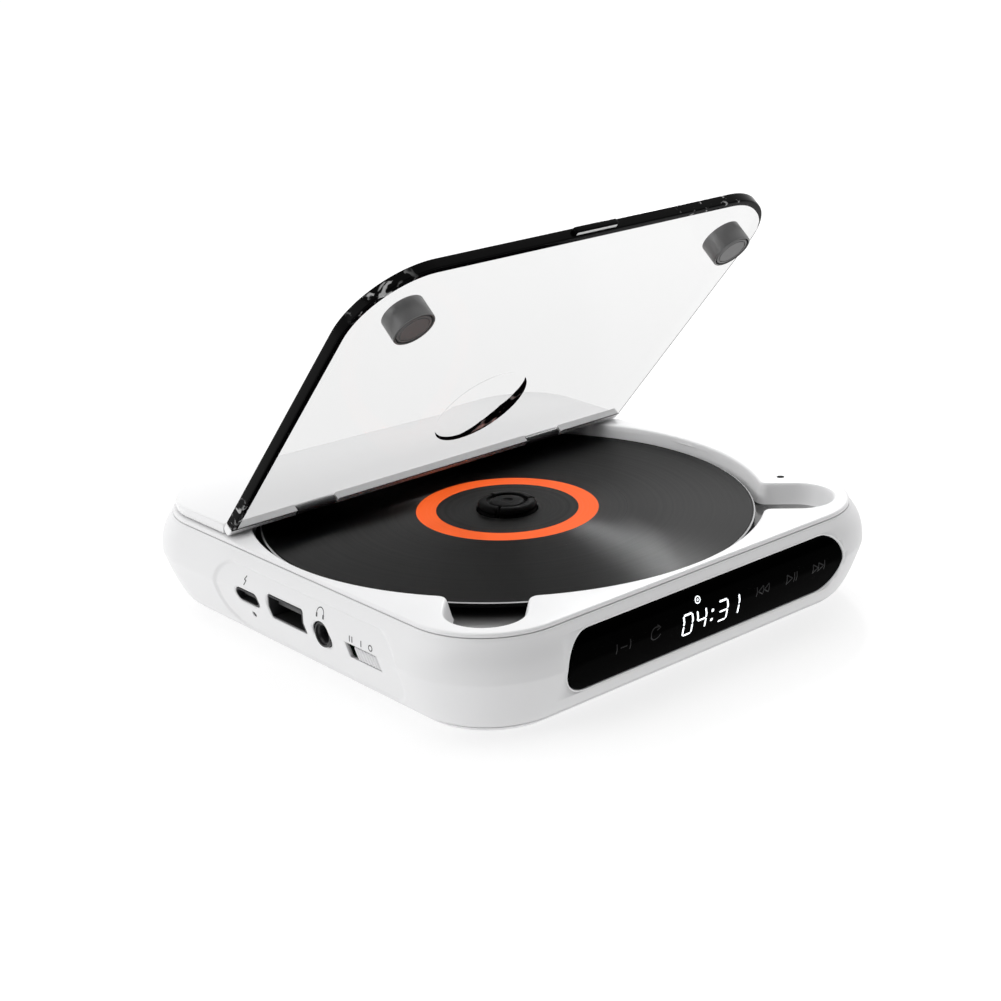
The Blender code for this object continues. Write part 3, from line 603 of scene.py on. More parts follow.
port_print = printed_strokes("socket_marks", "left", port_marks, mark_ink)
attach(port_print, "case")

# ---------------------------------------------------------------- display window
# A long black acrylic lens, painted behind, that follows the curve of the band. White
# segments shine through it, and grey touch marks are printed under its surface.
lens_black = speckled(
    "window_black", (0.0002, 0.0002, 0.0002), (0.0004, 0.0004, 0.0004), 0.12, 300, 0.0, specular=0.004
)
SINK = 0.10 * MM
lens_rows = []
for inset, drop in (
    (0.0, 1.6), (0.0, 0.35), (0.03, 0.2), (0.1, 0.08), (0.2, 0.02), (0.35, 0.0), (0.9, 0.0), (1.6, 0.0),
    (2.4, 0.0), (3.2, 0.0), (4.0, 0.0), (4.8, 0.0), (5.6, 0.0), (6.3, 0.0), (6.8, 0.0),
):
    height = WINDOW_HEIGHT - 2 * inset * MM
    outline = round_slot(window_centre, WINDOW_LENGTH - 2 * inset * MM, height, 24)
    lens_rows.append([skin_point("front", u, z, SINK + drop * MM) for u, z in outline])
lens = add_mesh("display_window", *join_rows(lens_rows, cap_last=True), [lens_black], 60)
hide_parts("display_lens")
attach(lens, "case")


def glowing(name, colour, strength):
    material, add, link, shader = nodes_of(name)
    place = add("ShaderNodeTexCoord")
    cells = add("ShaderNodeTexNoise")
    cells.inputs["Scale"].default_value = 1500
    blend = add("ShaderNodeMix")
    blend.data_type = "RGBA"
    blend.inputs["A"].default_value = (*colour, 1)
    blend.inputs["B"].default_value = (*[c * 0.92 for c in colour], 1)
    link(place.outputs["Object"], cells.inputs["Vector"])
    link(cells.outputs["Fac"], blend.inputs["Factor"])
    link(blend.outputs["Result"], shader.inputs["Base Color"])
    link(blend.outputs["Result"], shader.inputs["Emission Color"])
    shader.inputs["Emission Strength"].default_value = strength
    shader.inputs["Roughness"].default_value = 0.5
    return material


led_white = glowing("lit_segments", (0.93, 0.97, 1.0), 1.15)
touch_grey = speckled(
    "touch_mark_grey", (0.0055, 0.0055, 0.006), (0.008, 0.008, 0.0085), 0.3, 900, 0.0, specular=0.1
)

# Each digit has seven bars; the strings name the lit ones, from the top bar round clockwise.
SEGMENTS = {"0": "abcdef", "1": "bc", "3": "abcdg", "4": "bcfg"}
DIGIT_W = 3.2 * MM
DIGIT_H = 5.8 * MM
BAR = 0.5 * MM
SLANT = -0.14
DIGITS_FROM = -8.0 * MM
DIGITS_Z = 13.4 * MM
bars = {
    "a": ((0, 1), (1, 1)), "b": ((1, 1), (1, 0)), "c": ((1, 0), (1, -1)), "d": ((0, -1), (1, -1)),
    "e": ((0, 0), (0, -1)), "f": ((0, 1), (0, 0)), "g": ((0, 0), (1, 0)),
}


def digit_place(index, u, v):
    centre = DIGITS_FROM + index
    x = centre + u * (DIGIT_W - BAR)
    z = DIGITS_Z + v * (DIGIT_H - BAR) / 2
    return (x + SLANT * (z - DIGITS_Z), z)


segment_points, segment_faces = [], []


def add_segment(start, end, stations=8):
    """One bar with pointed ends, laid on the window in short pieces that follow its curve."""
    a, b = Vector(start), Vector(end)
    way = (b - a).normalized()
    a, b = a + way * BAR * 0.15, b - way * BAR * 0.15
    side = Vector((-way.y, way.x)) * BAR / 2
    length = (b - a).length
    runs = [0.02 * MM, BAR / 2] + [BAR / 2 + (length - BAR) * k / stations for k in range(1, stations + 1)]
    runs.append(length - 0.02 * MM)
    first = len(segment_points)
    for run in runs:
        half = min(1.0, run / (BAR / 2), (length - run) / (BAR / 2))
        centre = a + way * run
        for point in (centre + side * half, centre - side * half):
            segment_points.append(skin_point("front", point.x, point.y, SINK - 0.03 * MM))
    for k in range(len(runs) - 1):
        c = first + 2 * k
        segment_faces.append((c, c + 1, c + 3, c + 2))


for figure, start in (("0", 0.0), ("4", 4.3 * MM), ("3", 11.2 * MM), ("1", 15.0 * MM)):
    for bar in SEGMENTS[figure]:
        (u0, v0), (u1, v1) = bars[bar]
        add_segment(digit_place(start, u0, v0), digit_place(start, u1, v1))
for height in (-1.25 * MM, 1.25 * MM):
    centre = (DIGITS_FROM + 9.0 * MM + SLANT * height, DIGITS_Z + height)
    first = len(segment_points)
    segment_points += [
        skin_point("front", u, z, SINK - 0.03 * MM) for u, z in arc(centre, 0.42 * MM, 0, 337.5, 15)
    ]
    segment_faces.append(tuple(range(first, len(segment_points))))
clock_digits = add_mesh("clock_digits", segment_points, segment_faces, [led_white])
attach(clock_digits, "case")

disc_mark_at = (-3.6 * MM, 18.4 * MM)
disc_mark = printed_strokes(
    "disc_mark",
    "front",
    [
        (arc(disc_mark_at, 0.75 * MM, 0, 360, 24), 0.24 * MM),
        (arc(disc_mark_at, 0.22 * MM, 0, 360, 12), 0.16 * MM)
    ],
    led_white,
    inset=SINK,
)
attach(disc_mark, "case")

KEY_Z = 14.6 * MM


def key_strokes(x, kind):
    at = (x * MM, KEY_Z)
    thin = 0.28 * MM
    if kind == "section":
        return [
            (shifted([(-2.0, -1.2), (-2.0, 1.2)], at), thin),
            (shifted([(-1.0, 0), (1.0, 0)], at), thin),
            (shifted([(2.0, -1.2), (2.0, 1.2)], at), thin),
        ]
    if kind == "repeat":
        return [
            (arc(at, 1.5 * MM, 60, 340, 20), thin),
            (shifted([(0.4, 1.9), (1.4, 1.1), (0.3, 0.7)], at), thin),
        ]
    if kind == "pause":
        return [
            (shifted([(-1.5, 1.2), (-1.5, -1.2), (0.3, 0), (-1.5, 1.2)], at), thin),
            (shifted([(1.1, -1.2), (1.1, 1.2)], at), thin),
            (shifted([(1.9, -1.2), (1.9, 1.2)], at), thin),
        ]
    way = -1 if kind == "previous" else 1
    strokes = []
    for start in (-1.9, 0.0):
        tip = start + 1.7
        triangle = [(way * start, 1.1), (way * start, -1.1), (way * tip, 0), (way * start, 1.1)]
        strokes.append((shifted(triangle, at), thin))
    strokes.append((shifted([(way * 2.1, -1.2), (way * 2.1, 1.2)], at), thin))
    return strokes


keys = ((-26.5, "section"), (-16.8, "repeat"), (17.5, "previous"), (27.0, "pause"), (36.5, "next"))
touch_strokes = [line for x, kind in keys for line in key_strokes(x, kind)]
touch_marks = printed_strokes("touch_marks", "front", touch_strokes, touch_grey, inset=SINK)
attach(touch_marks, "case")

# ---------------------------------------------------------------- deck
# The white top moulding: a flat deck with a softly rounded rim, the round disc bay with
# its sloping wall, and two finger scoops towards the front corners.
DECK_Z = deck_high.z
FLOOR_Z = 19.0 * MM
NOTCH_AT = (49.3 * MM, -49.6 * MM)
deck_white = speckled("deck_white", (0.83, 0.83, 0.835), (0.82, 0.82, 0.826), 0.36, 90, 0.0)

# Painted shade on the bay floor: near black under the disc, where its shadow falls, lightening through greys along
# the notches to a pale grey at their tips.
painted_floor_shade, add, link, shader = nodes_of("bay_floor_painted_shade")
place = add("ShaderNodeTexCoord")
flat = add("ShaderNodeVectorMath")
flat.operation = "MULTIPLY"
flat.inputs[1].default_value = (1, 1, 0)
radial = add("ShaderNodeVectorMath")
radial.operation = "LENGTH"
shades = add("ShaderNodeMapRange")
shades.inputs["From Min"].default_value = 0.060
shades.inputs["From Max"].default_value = 0.0775
tones = add("ShaderNodeValToRGB")
tones.color_ramp.elements[0].color = (0.012, 0.012, 0.012, 1)
tones.color_ramp.elements[1].color = (0.62, 0.62, 0.63, 1)
for position, level in ((0.12, 0.06), (0.40, 0.24), (0.75, 0.30)):
    tones.color_ramp.elements.new(position).color = (level, level, level, 1)
link(place.outputs["Object"], flat.inputs[0])
link(flat.outputs["Vector"], radial.inputs[0])
link(radial.outputs["Value"], shades.inputs["Value"])
link(shades.outputs["Result"], tones.inputs["Fac"])
link(tones.outputs["Color"], shader.inputs["Base Color"])
shader.inputs["Roughness"].default_value = 0.5


def bay_outline(bay_radius, notch_radius, fillet):
    """The bay's circle with both notches, their mouths rounded by a fillet: 2-D points, anticlockwise."""
    toward = math.atan2(NOTCH_AT[1], NOTCH_AT[0])
    reach = math.hypot(*NOTCH_AT)
    # The fillet's centre is outside the circle and beside the slot.
    side = notch_radius + fillet
    out = math.sqrt((bay_radius + fillet) ** 2 - side**2)
    lean = math.atan2(side, out)
    right_part = []
    way = Vector((math.cos(toward), math.sin(toward)))
    across = Vector((-way.y, way.x))
    slot_run = 7
    for sign in (-1, 1):
        middle_point = way * out + across * side * sign
        to_circle = math.atan2(-middle_point.y, -middle_point.x)
        to_slot = math.atan2(-across.y * sign, -across.x * sign)
        turn = (to_slot - to_circle + math.pi) % (2 * math.pi) - math.pi
        bend = [
            (
                middle_point.x + fillet * math.cos(to_circle + turn * i / 8),
                middle_point.y + fillet * math.sin(to_circle + turn * i / 8),
            )
            for i in range(9)
        ]
        start = way * out + across * notch_radius * sign
        end = way * reach + across * notch_radius * sign
        run = [tuple(start.lerp(end, i / slot_run)) for i in range(1, slot_run)]
        right_part.append((bend, run))
    first, second = right_part
    tip = arc(NOTCH_AT, notch_radius, math.degrees(toward) - 90, math.degrees(toward) + 90, 20)
    right_notch = first[0] + first[1] + tip + second[1][::-1] + second[0][::-1]
    left_notch = [(-x, y) for x, y in reversed(right_notch)]
    low_turn = toward + lean
    high_turn = math.pi - low_turn
    over = arc((0, 0), bay_radius, math.degrees(low_turn), math.degrees(high_turn), 120)[1:-1]
    front_from = -math.pi - toward + lean
    front_to = toward - lean
    under = arc((0, 0), bay_radius, math.degrees(front_from), math.degrees(front_to), 40)[1:-1]
    return right_notch + over + left_notch + under


# Each step of the wall: bay radius, notch radius, mouth fillet and height.
wall_steps = (
    (63.0, 9.5, 1.6, DECK_Z),
    (62.75, 9.25, 1.8, DECK_Z - 0.05 * MM),
    (62.5, 9.0, 2.0, DECK_Z - 0.2 * MM),
    (62.35, 8.8, 2.2, DECK_Z - 0.45 * MM),
    (62.1, 8.5, 2.4, 23.2 * MM),
    (61.8, 8.15, 2.6, 21.8 * MM),
    (61.5, 7.8, 2.8, 20.4 * MM),
    (61.3, 7.5, 3.0, 19.6 * MM),
    (61.0, 7.2, 3.2, 19.2 * MM),
    (60.6, 6.8, 3.4, FLOOR_Z + 0.04 * MM),
    (60.2, 6.4, 3.6, FLOOR_Z),
)
wall_rows = []
for bay_radius, notch_radius, fillet, z in wall_steps:
    outline = bay_outline(bay_radius * MM, notch_radius * MM, fillet * MM)
    wall_rows.append([(x, y, z) for x, y in outline])
rim_steps = (
    (-1.9, -1.15), (-0.05, -0.95), (0.0, -0.80), (0.0, -0.45), (-0.06, -0.26), (-0.18, -0.11),
    (-0.36, -0.03), (-0.6, 0.0),
)
rim_rows = []
for offset, drop in rim_steps:
    grow = offset * MM
    row = rounded_square(HALF_X + grow, HALF_Y + grow, CORNER + grow, 22, (20, 20, 20, 20))
    rim_rows.append([(x, y, DECK_Z + drop * MM) for x, y in row])

deck_mesh = bmesh.new()


def bmesh_rows(target, rows):
    """Adds a skin through rows to a bmesh, and gives back the vertices of each row."""
    made = [[target.verts.new(p) for p in row] for row in rows]
    for low, high in zip(made, made[1:]):
        for i, vertex in enumerate(low):
            j = (i + 1) % len(low)
            target.faces.new((vertex, low[j], high[j], high[i]))
    return made


def closed_edges(target, row):
    return [target.edges.get((v, row[(i + 1) % len(row)])) for i, v in enumerate(row)]


rim = bmesh_rows(deck_mesh, rim_rows)
wall = bmesh_rows(deck_mesh, wall_rows)
top_edges = closed_edges(deck_mesh, rim[-1]) + closed_edges(deck_mesh, wall[0])
bmesh.ops.triangle_fill(deck_mesh, use_beauty=True, use_dissolve=False, edges=top_edges)

# The floor is open over the hub and along the pickup's slot.
window_row = [(x, y, FLOOR_Z) for x, y in round_slot((25 * MM, 0), 68 * MM, 18 * MM, 20)]
window_wall = bmesh_rows(deck_mesh, [window_row, [(x, y, z - 1.2 * MM) for x, y, z in window_row]])
floor_edges = closed_edges(deck_mesh, wall[-1]) + closed_edges(deck_mesh, window_wall[0])
bmesh.ops.triangle_fill(deck_mesh, use_beauty=True, use_dissolve=False, edges=floor_edges)
bmesh.ops.recalc_face_normals(deck_mesh, faces=deck_mesh.faces)
# The normals agree with each other by now, but they may all point inwards.
top_face = min(deck_mesh.faces, key=lambda face: abs(face.calc_center_median().z - DECK_Z))
if top_face.normal.z < 0:
    bmesh.ops.reverse_faces(deck_mesh, faces=deck_mesh.faces)
deck_data = bpy.data.meshes.new("deck")
deck_mesh.to_mesh(deck_data)
deck_mesh.free()
deck_data.shade_smooth()
deck_data.set_sharp_from_angle(angle=math.radians(40))
deck_data.materials.append(deck_white)
deck_data.materials.append(painted_floor_shade)
# Faces low in the bay take the painted floor shade.
for face in deck_data.polygons:
    face.material_index = int(face.center.z < FLOOR_Z + 0.5 * MM and face.normal.z > -0.5)
deck = bpy.data.objects.new("deck", deck_data)
bpy.context.scene.collection.objects.link(deck)
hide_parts("top_deck")
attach(deck, "case")

SENSOR_AT = (56.8 * MM, -37.9 * MM)


def turned_up(name, centre, profile, materials, sides=64):
    """A piece turned about a vertical line: profile gives (radius, z) in metres."""
    rows = []
    for radius, z in profile:
        row = []
        for i in range(sides):
            turn = 2 * math.pi * i / sides
            row.append((centre[0] + radius * math.cos(turn), centre[1] + radius * math.sin(turn), z))
        rows.append(row)
    return add_mesh(name, *join_rows(rows, cap_first=True, cap_last=True), materials, 35)


sensor_black = speckled(
    "sensor_black", (0.002, 0.002, 0.002), (0.004, 0.004, 0.004), 0.5, 1200, 0.0, specular=0.03
)
sensor_profile = [(0.95, -2.0), (0.95, 0.02), (0.85, 0.05), (0.6, 0.05), (0.5, 0.04), (0.2, 0.04)]
sensor = turned_up(
    "sensor_window", SENSOR_AT, [(r * MM, DECK_Z + z * MM) for r, z in sensor_profile], [sensor_black], 32
)
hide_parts("lid_sensor")
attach(sensor, "case")

# ---------------------------------------------------------------- underside
# A white floor plate closes the case below. Its thin seam shows as a dark line, and it
# carries four rubber feet and four sunk cross-head screws.
cover_top = band_low.z - 0.3 * MM
cover_rows = []
for inset, lift_z in ((0.9, 0.0), (0.5, 0.06), (0.2, 0.2), (0.0, 0.42)):
    cover_rows.append((BASE_Z + lift_z * MM, -inset * MM))
cover_rows += [
    (BASE_Z + 0.8 * MM, 0.0), (cover_top - 0.12 * MM, 0.0), (cover_top, -0.12 * MM), (cover_top, -3 * MM)
]
cover_points = []
for z, shrink in cover_rows:
    grow = bulge_at(max(z, BASE_Z + 0.42 * MM)) + shrink
    row = rounded_square(HALF_X + grow, HALF_Y + grow, CORNER + grow, 22, (8, 8, 8, 8))
    cover_points.append([(x, y, z) for x, y in row])
cover = add_mesh("floor_plate", *join_rows(cover_points, cap_first=True, cap_last=True), [white_gloss], 40)
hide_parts("bottom_cover")
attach(cover, "case")

foot_rubber = speckled("foot_rubber", (0.025, 0.025, 0.025), (0.04, 0.04, 0.04), 0.75, 1400, 0.4)
screw_steel = speckled("screw_steel", (0.35, 0.35, 0.36), (0.25, 0.25, 0.26), 0.35, 900, 0.1, metallic=1.0)
for corner in ("front_left", "front_right", "rear_left", "rear_right"):
    low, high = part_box(f"foot_{corner}")
    centre = ((low.x + high.x) / 2, (low.y + high.y) / 2)
    radius = (high.x - low.x) / 2
    profile = [
        (radius - 0.45 * MM, 0.0), (radius - 0.15 * MM, 0.08 * MM), (radius, 0.3 * MM), (radius, high.z)
    ]
    foot = turned_up(f"rubber_foot_{corner}", centre, profile, [foot_rubber])
    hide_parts(f"foot_{corner}")
    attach(foot, "case")
    low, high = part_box(f"case_screw_{corner}")
    centre = ((low.x + high.x) / 2, (low.y + high.y) / 2)
    dish = [
        (0.25, 1.35), (0.5, 1.0), (1.25, 0.96), (1.7, 0.98), (1.95, 1.06), (2.05, 1.2), (2.3, 0.97),
        (2.3, 1.9)
    ]
    screw = turned_up(
        f"cover_screw_{corner}", centre, [(r * MM, z * MM) for r, z in dish], [screw_steel], 40
    )
    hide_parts(f"case_screw_{corner}")
    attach(screw, "case")

# ---------------------------------------------------------------- rear plate and hinge
# An opaque white plate bridges the back of the bay, a little proud of the deck. Two dark
# brackets reach from under it to the hinge line and hold a steel pin each.
plate_low, plate_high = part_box("rear_plate")
hinge = next(j for j in frame["joints"] if j["name"] == "lid_hinge")
HINGE = Vector(hinge["pos_m"])
LID_ANGLE = math.radians(-hinge["range_deg"][0])
LID_CORNER = 18.8 * MM
PLATE_EDGE = 0.45 * MM


def plate_outline(inset):
    """The plate's outline seen from above: square at the hinge, rounded at the back."""
    radius = LID_CORNER - inset
    x = plate_high.x - inset
    points = [(-x, plate_low.y + inset), (x, plate_low.y + inset)]
    points += arc((x - radius, plate_high.y - inset - radius), radius, 0, 90, 24)
    points += arc((radius - x, plate_high.y - inset - radius), radius, 90, 180, 24)
    return points


plate_rows = []
for inset, z in (
    (PLATE_EDGE, plate_low.z), (0.12 * MM, plate_low.z + 0.12 * MM), (0.0, plate_low.z + PLATE_EDGE),
    (0.0, plate_high.z - PLATE_EDGE), (0.06 * MM, plate_high.z - 0.22 * MM), (
        0.2 * MM, plate_high.z - 0.07 * MM
    ),
    (PLATE_EDGE, plate_high.z),
):
    plate_rows.append([(x, y, z) for x, y in plate_outline(inset)])
plate_white = speckled("plate_white", (0.84, 0.84, 0.845), (0.83, 0.83, 0.835), 0.22, 800, 0.0)
plate = add_mesh("hinge_plate", *join_rows(plate_rows, cap_first=True, cap_last=True), [plate_white], 40)
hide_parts("rear_plate")
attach(plate, "case")

bracket_black = speckled("bracket_black", (0.02, 0.02, 0.021), (0.035, 0.035, 0.036), 0.35, 1200, 0.1)
pin_steel = speckled("pin_steel", (0.55, 0.55, 0.56), (0.48, 0.48, 0.49), 0.25, 900, 0.05, metallic=1.0)
for side in ("left", "right"):
    node = frame["nodes"][f"hinge_bracket_{side}"]
    node.data.materials.clear()
    node.data.materials.append(bracket_black)
    node = frame["nodes"][f"hinge_pin_{side}"]
    node.data.materials.clear()
    node.data.materials.append(pin_steel)

# ---------------------------------------------------------------- lid
# A thick sheet of clear acrylic with a round dish over the hub. A rim with painted shade
# and painted highlights on its edge runs round its free sides, a short pull tab stands out
# in front, and a white hinge rail is bonded along its rear edge. All of it is drawn closed, then turned open.
LID_HALF = 1.25 * MM
LID_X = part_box("lid_panel")[1].x
LID_DEPTH = 91.84 * MM
GLASS_INSET = 0.35 * MM

opened = Matrix.Translation(HINGE) @ Matrix.Rotation(-LID_ANGLE, 4, "X")


def acrylic(name):
    """Clear acrylic, faintly hazy. Its index is far below real acrylic's, so it mirrors and bends little."""
    material, add, link, shader = nodes_of(name)
    shader.inputs["Base Color"].default_value = (0.765, 0.765, 0.765, 1)
    shader.inputs["Transmission Weight"].default_value = 1.0
    shader.inputs["IOR"].default_value = 1.035
    place = add("ShaderNodeTexCoord")
    haze = add("ShaderNodeTexNoise")
    haze.inputs["Scale"].default_value = 30
    spread = add("ShaderNodeMapRange")
    spread.inputs["To Min"].default_value = 0.0
    spread.inputs["To Max"].default_value = 0.012
    link(place.outputs["Object"], haze.inputs["Vector"])
    link(haze.outputs["Fac"], spread.inputs["Value"])
    link(spread.outputs["Result"], shader.inputs["Roughness"])
    clear = add("ShaderNodeBsdfTransparent")
    clear.inputs["Color"].default_value = (0.96, 0.965, 0.965, 1)
    path = add("ShaderNodeLightPath")
    mix = add("ShaderNodeMixShader")
    out = material.node_tree.nodes["Material Output"]
    link(path.outputs["Is Shadow Ray"], mix.inputs["Fac"])
    link(shader.outputs["BSDF"], mix.inputs[1])
    link(clear.outputs["BSDF"], mix.inputs[2])
    link(mix.outputs["Shader"], out.inputs["Surface"])
    return material


def lid_outline(inset, rear, steps=28):
    """The closed lid's free outline from its rear right corner round the front to the rear left."""
    radius = LID_CORNER - inset
    x = LID_X - inset
    front = -LID_DEPTH + inset
    points = [(x, rear)] + [(x, rear + (front + radius - rear) * i / 20) for i in range(1, 20)]
    points += arc((x - radius, front + radius), radius, 0, -90, steps)
    points += [(x - radius - 2 * (x - radius) * i / 24, front) for i in range(1, 24)]
    points += arc((radius - x, front + radius), radius, -90, -180, steps)
    points += [(-x, rear + (front + radius - rear) * i / 20) for i in range(19, -1, -1)]
    return points


clear_acrylic = acrylic("clear_acrylic")
GLASS_REAR = -1.45 * MM
glass_rows = []
for inset, z in (
    (0.20, -1.25), (0.06, -1.19), (0.0, -1.05), (0.0, 1.05), (0.06, 1.19), (0.20, 1.25),
):
    outline = lid_outline(GLASS_INSET + inset * MM, GLASS_REAR - inset * MM)
    glass_rows.append([opened @ Vector((x, y, z * MM)) for x, y in outline])
glass_mesh = bmesh.new()
glass_loops = bmesh_rows(glass_mesh, glass_rows)
dish_rows = []
for radius, z in ((13.3, -1.25), (13.15, -1.22), (13.05, -1.1), (12.9, -0.9), (12.0, -0.8), (10.5, -0.78)):
    ring = arc((0, -HINGE.y), radius * MM, 0, 360, 96)[:-1]
    dish_rows.append([opened @ Vector((x, y, z * MM)) for x, y in ring])
dish_loops = bmesh_rows(glass_mesh, dish_rows)
glass_mesh.faces.new(dish_loops[-1])
glass_mesh.faces.new(glass_loops[-1])
under_edges = closed_edges(glass_mesh, glass_loops[0]) + closed_edges(glass_mesh, dish_loops[0])
bmesh.ops.triangle_fill(glass_mesh, use_beauty=True, use_dissolve=False, edges=under_edges)
bmesh.ops.recalc_face_normals(glass_mesh, faces=glass_mesh.faces)
glass_data = bpy.data.meshes.new("lid_sheet")
glass_mesh.to_mesh(glass_data)
glass_mesh.free()
glass_data.shade_smooth()
glass_data.set_sharp_from_angle(angle=math.radians(12))
glass_data.materials.append(clear_acrylic)
lid_sheet = bpy.data.objects.new("lid_sheet", glass_data)
bpy.context.scene.collection.objects.link(lid_sheet)
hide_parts("lid_panel")
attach(lid_sheet, "lid")

# The dark of the rim and its pale glints are coloured on: painted shade and painted highlights, in place of light
# bending in a clear edge.
rim_painted_dark, add, link, shader = nodes_of("rim_painted_dark")
place = add("ShaderNodeTexCoord")
rim_glints = add("ShaderNodeTexNoise")
rim_glints.inputs["Scale"].default_value = 330
rim_glints.inputs["Detail"].default_value = 2
rim_glints.inputs["Distortion"].default_value = 1.2
link(place.outputs["Object"], rim_glints.inputs["Vector"])
rim_glint_edge = add("ShaderNodeMapRange")
rim_glint_edge.interpolation_type = "SMOOTHSTEP"
rim_glint_edge.inputs["From Min"].default_value = 0.56
rim_glint_edge.inputs["From Max"].default_value = 0.66
link(rim_glints.outputs["Fac"], rim_glint_edge.inputs["Value"])
gathered = None
for x, y, reach in (
    (-LID_X, -5.0 * MM, 9 * MM), (-57.0 * MM, -86.0 * MM, 9 * MM), (38.0 * MM, -90.0 * MM, 14 * MM)
):
    spot = opened @ Vector((x, y, 0))
    away = add("ShaderNodeVectorMath")
    away.operation = "DISTANCE"
    away.inputs[1].default_value = spot
    near = add("ShaderNodeMapRange")
    near.inputs["From Min"].default_value = reach
    near.inputs["From Max"].default_value = reach * 0.4
    link(place.outputs["Object"], away.inputs[0])
    link(away.outputs["Value"], near.inputs["Value"])
    if gathered:
        most = add("ShaderNodeMath")
        most.operation = "MAXIMUM"
        link(gathered, most.inputs[0])
        link(near.outputs["Result"], most.inputs[1])
        gathered = most.outputs["Value"]
    else:
        gathered = near.outputs["Result"]
share = add("ShaderNodeMath")
share.operation = "MULTIPLY"
link(gathered, share.inputs[0])
link(rim_glint_edge.outputs["Result"], share.inputs[1])
blend = add("ShaderNodeMix")
blend.data_type = "RGBA"
blend.inputs["A"].default_value = (0.0015, 0.0015, 0.0016, 1)
blend.inputs["B"].default_value = (0.40, 0.40, 0.40, 1)
link(share.outputs["Value"], blend.inputs["Factor"])
link(blend.outputs["Result"], shader.inputs["Base Color"])
shader.inputs["Roughness"].default_value = 0.12
shader.inputs["Specular IOR Level"].default_value = 0.03

# The rim's section, from under the lid round its edge to the top: (inset, height) where it is
# broad, and the hairline that it thins to along the right side.
rim_profile = (
    ((1.55, -1.27), (0.24, -1.27)), ((0.30, -1.28), (0.20, -1.275)), ((0.10, -1.24), (0.10, -1.25)),
    ((0.02, -1.12), (0.04, -1.20)), ((0.0, -0.9), (0.02, -1.16)), ((0.0, -0.1), (0.02, -1.14)),
    ((0.0, 0.9), (0.02, -1.12)), ((0.02, 1.12), (0.02, -1.10)), ((0.10, 1.25), (0.02, -1.08)),
    ((0.45, 1.27), (0.02, -1.06)),
)
rim_line = lid_outline(0.0, -1.6 * MM)
span = len(rim_line)
rim_points, rim_faces = [], []
for broad, thin in rim_profile:
    for i in range(span):
        x, y = rim_line[i]
        past_corner = -y - (LID_DEPTH - 0.75 * LID_CORNER)
        turned_share = smooth_step(past_corner / (0.6 * LID_CORNER)) if x > 0 else 1.0
        inset = (broad[0] * turned_share + thin[0] * (1 - turned_share)) * MM
        z = (broad[1] * turned_share + thin[1] * (1 - turned_share)) * MM
        px, py = lid_outline(inset, -1.6 * MM)[i]
        rim_points.append(opened @ Vector((px, py, z)))
for r in range(len(rim_profile) - 1):
    for i in range(span - 1):
        a = r * span + i
        rim_faces.append((a, a + 1, a + span + 1, a + span))
lid_rim = add_mesh("lid_rim", rim_points, rim_faces, [rim_painted_dark], 50)
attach(lid_rim, "lid")

# The pull tab has the rim's painted shade on it. A thin white strip under it is a painted highlight in place of
# the light through clear acrylic.
TAB_X = 6.5 * MM
tab_rows = []
for inset, z in ((0.3, -0.75), (0.08, -0.68), (0.0, -0.5), (0.0, 0.5), (0.08, 0.68), (0.3, 0.75)):
    shape = round_box(
        (0, -LID_DEPTH - 0.2 * MM), 2 * TAB_X - 2 * inset * MM, 1.9 * MM - inset * MM, 0.55 * MM
    )
    tab_rows.append([opened @ Vector((x, y, z * MM)) for x, y in shape])
tab = add_mesh("pull_tab", *join_rows(tab_rows, cap_first=True, cap_last=True), [rim_painted_dark], 50)
strip_rows = []
for z in (-0.80, -0.755):
    shape = round_box((0, -LID_DEPTH - 0.3 * MM), 2 * TAB_X - 1.0 * MM, 0.95 * MM, 0.3 * MM)
    strip_rows.append([opened @ Vector((x, y, z * MM)) for x, y in shape])
tab_painted_highlight = speckled("tab_strip_painted_highlight", (0.85, 0.85, 0.85), (0.80, 0.80, 0.80), 0.2, 900, 0.0)
tab_strip = add_mesh("pull_tab_highlight_strip", *join_rows(strip_rows, cap_first=True, cap_last=True), [tab_painted_highlight], 50)
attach(tab_strip, "lid")
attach(tab, "lid")

rail_white = speckled("hinge_rail_white", (0.92, 0.92, 0.925), (0.88, 0.88, 0.885), 0.30, 700, 0.002)
rail_painted_shade = speckled(
    "rail_seam_painted_shade", (0.012, 0.012, 0.012), (0.02, 0.02, 0.02), 0.3, 700, 0.0, specular=0.1
)
knuckles = [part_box(f"hinge_bracket_{side}") for side in ("left", "right")]
stops = [-LID_X]
for low, high in knuckles:
    stops += [low.x - 0.3 * MM, high.x + 0.3 * MM]
stops.append(LID_X)


def rail_strip(name, ends, section):
    """A thin strip of painted shade along a rail; section gives its corners in lid millimetres."""
    rows = []
    for x in (ends[0] + 0.05 * MM, ends[1] - 0.05 * MM):
        rows.append([opened @ Vector((x, y * MM, z * MM)) for y, z in section])
    strip = add_mesh(name, *join_rows(rows, cap_first=True, cap_last=True), [rail_painted_shade], 40)
    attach(strip, "lid")


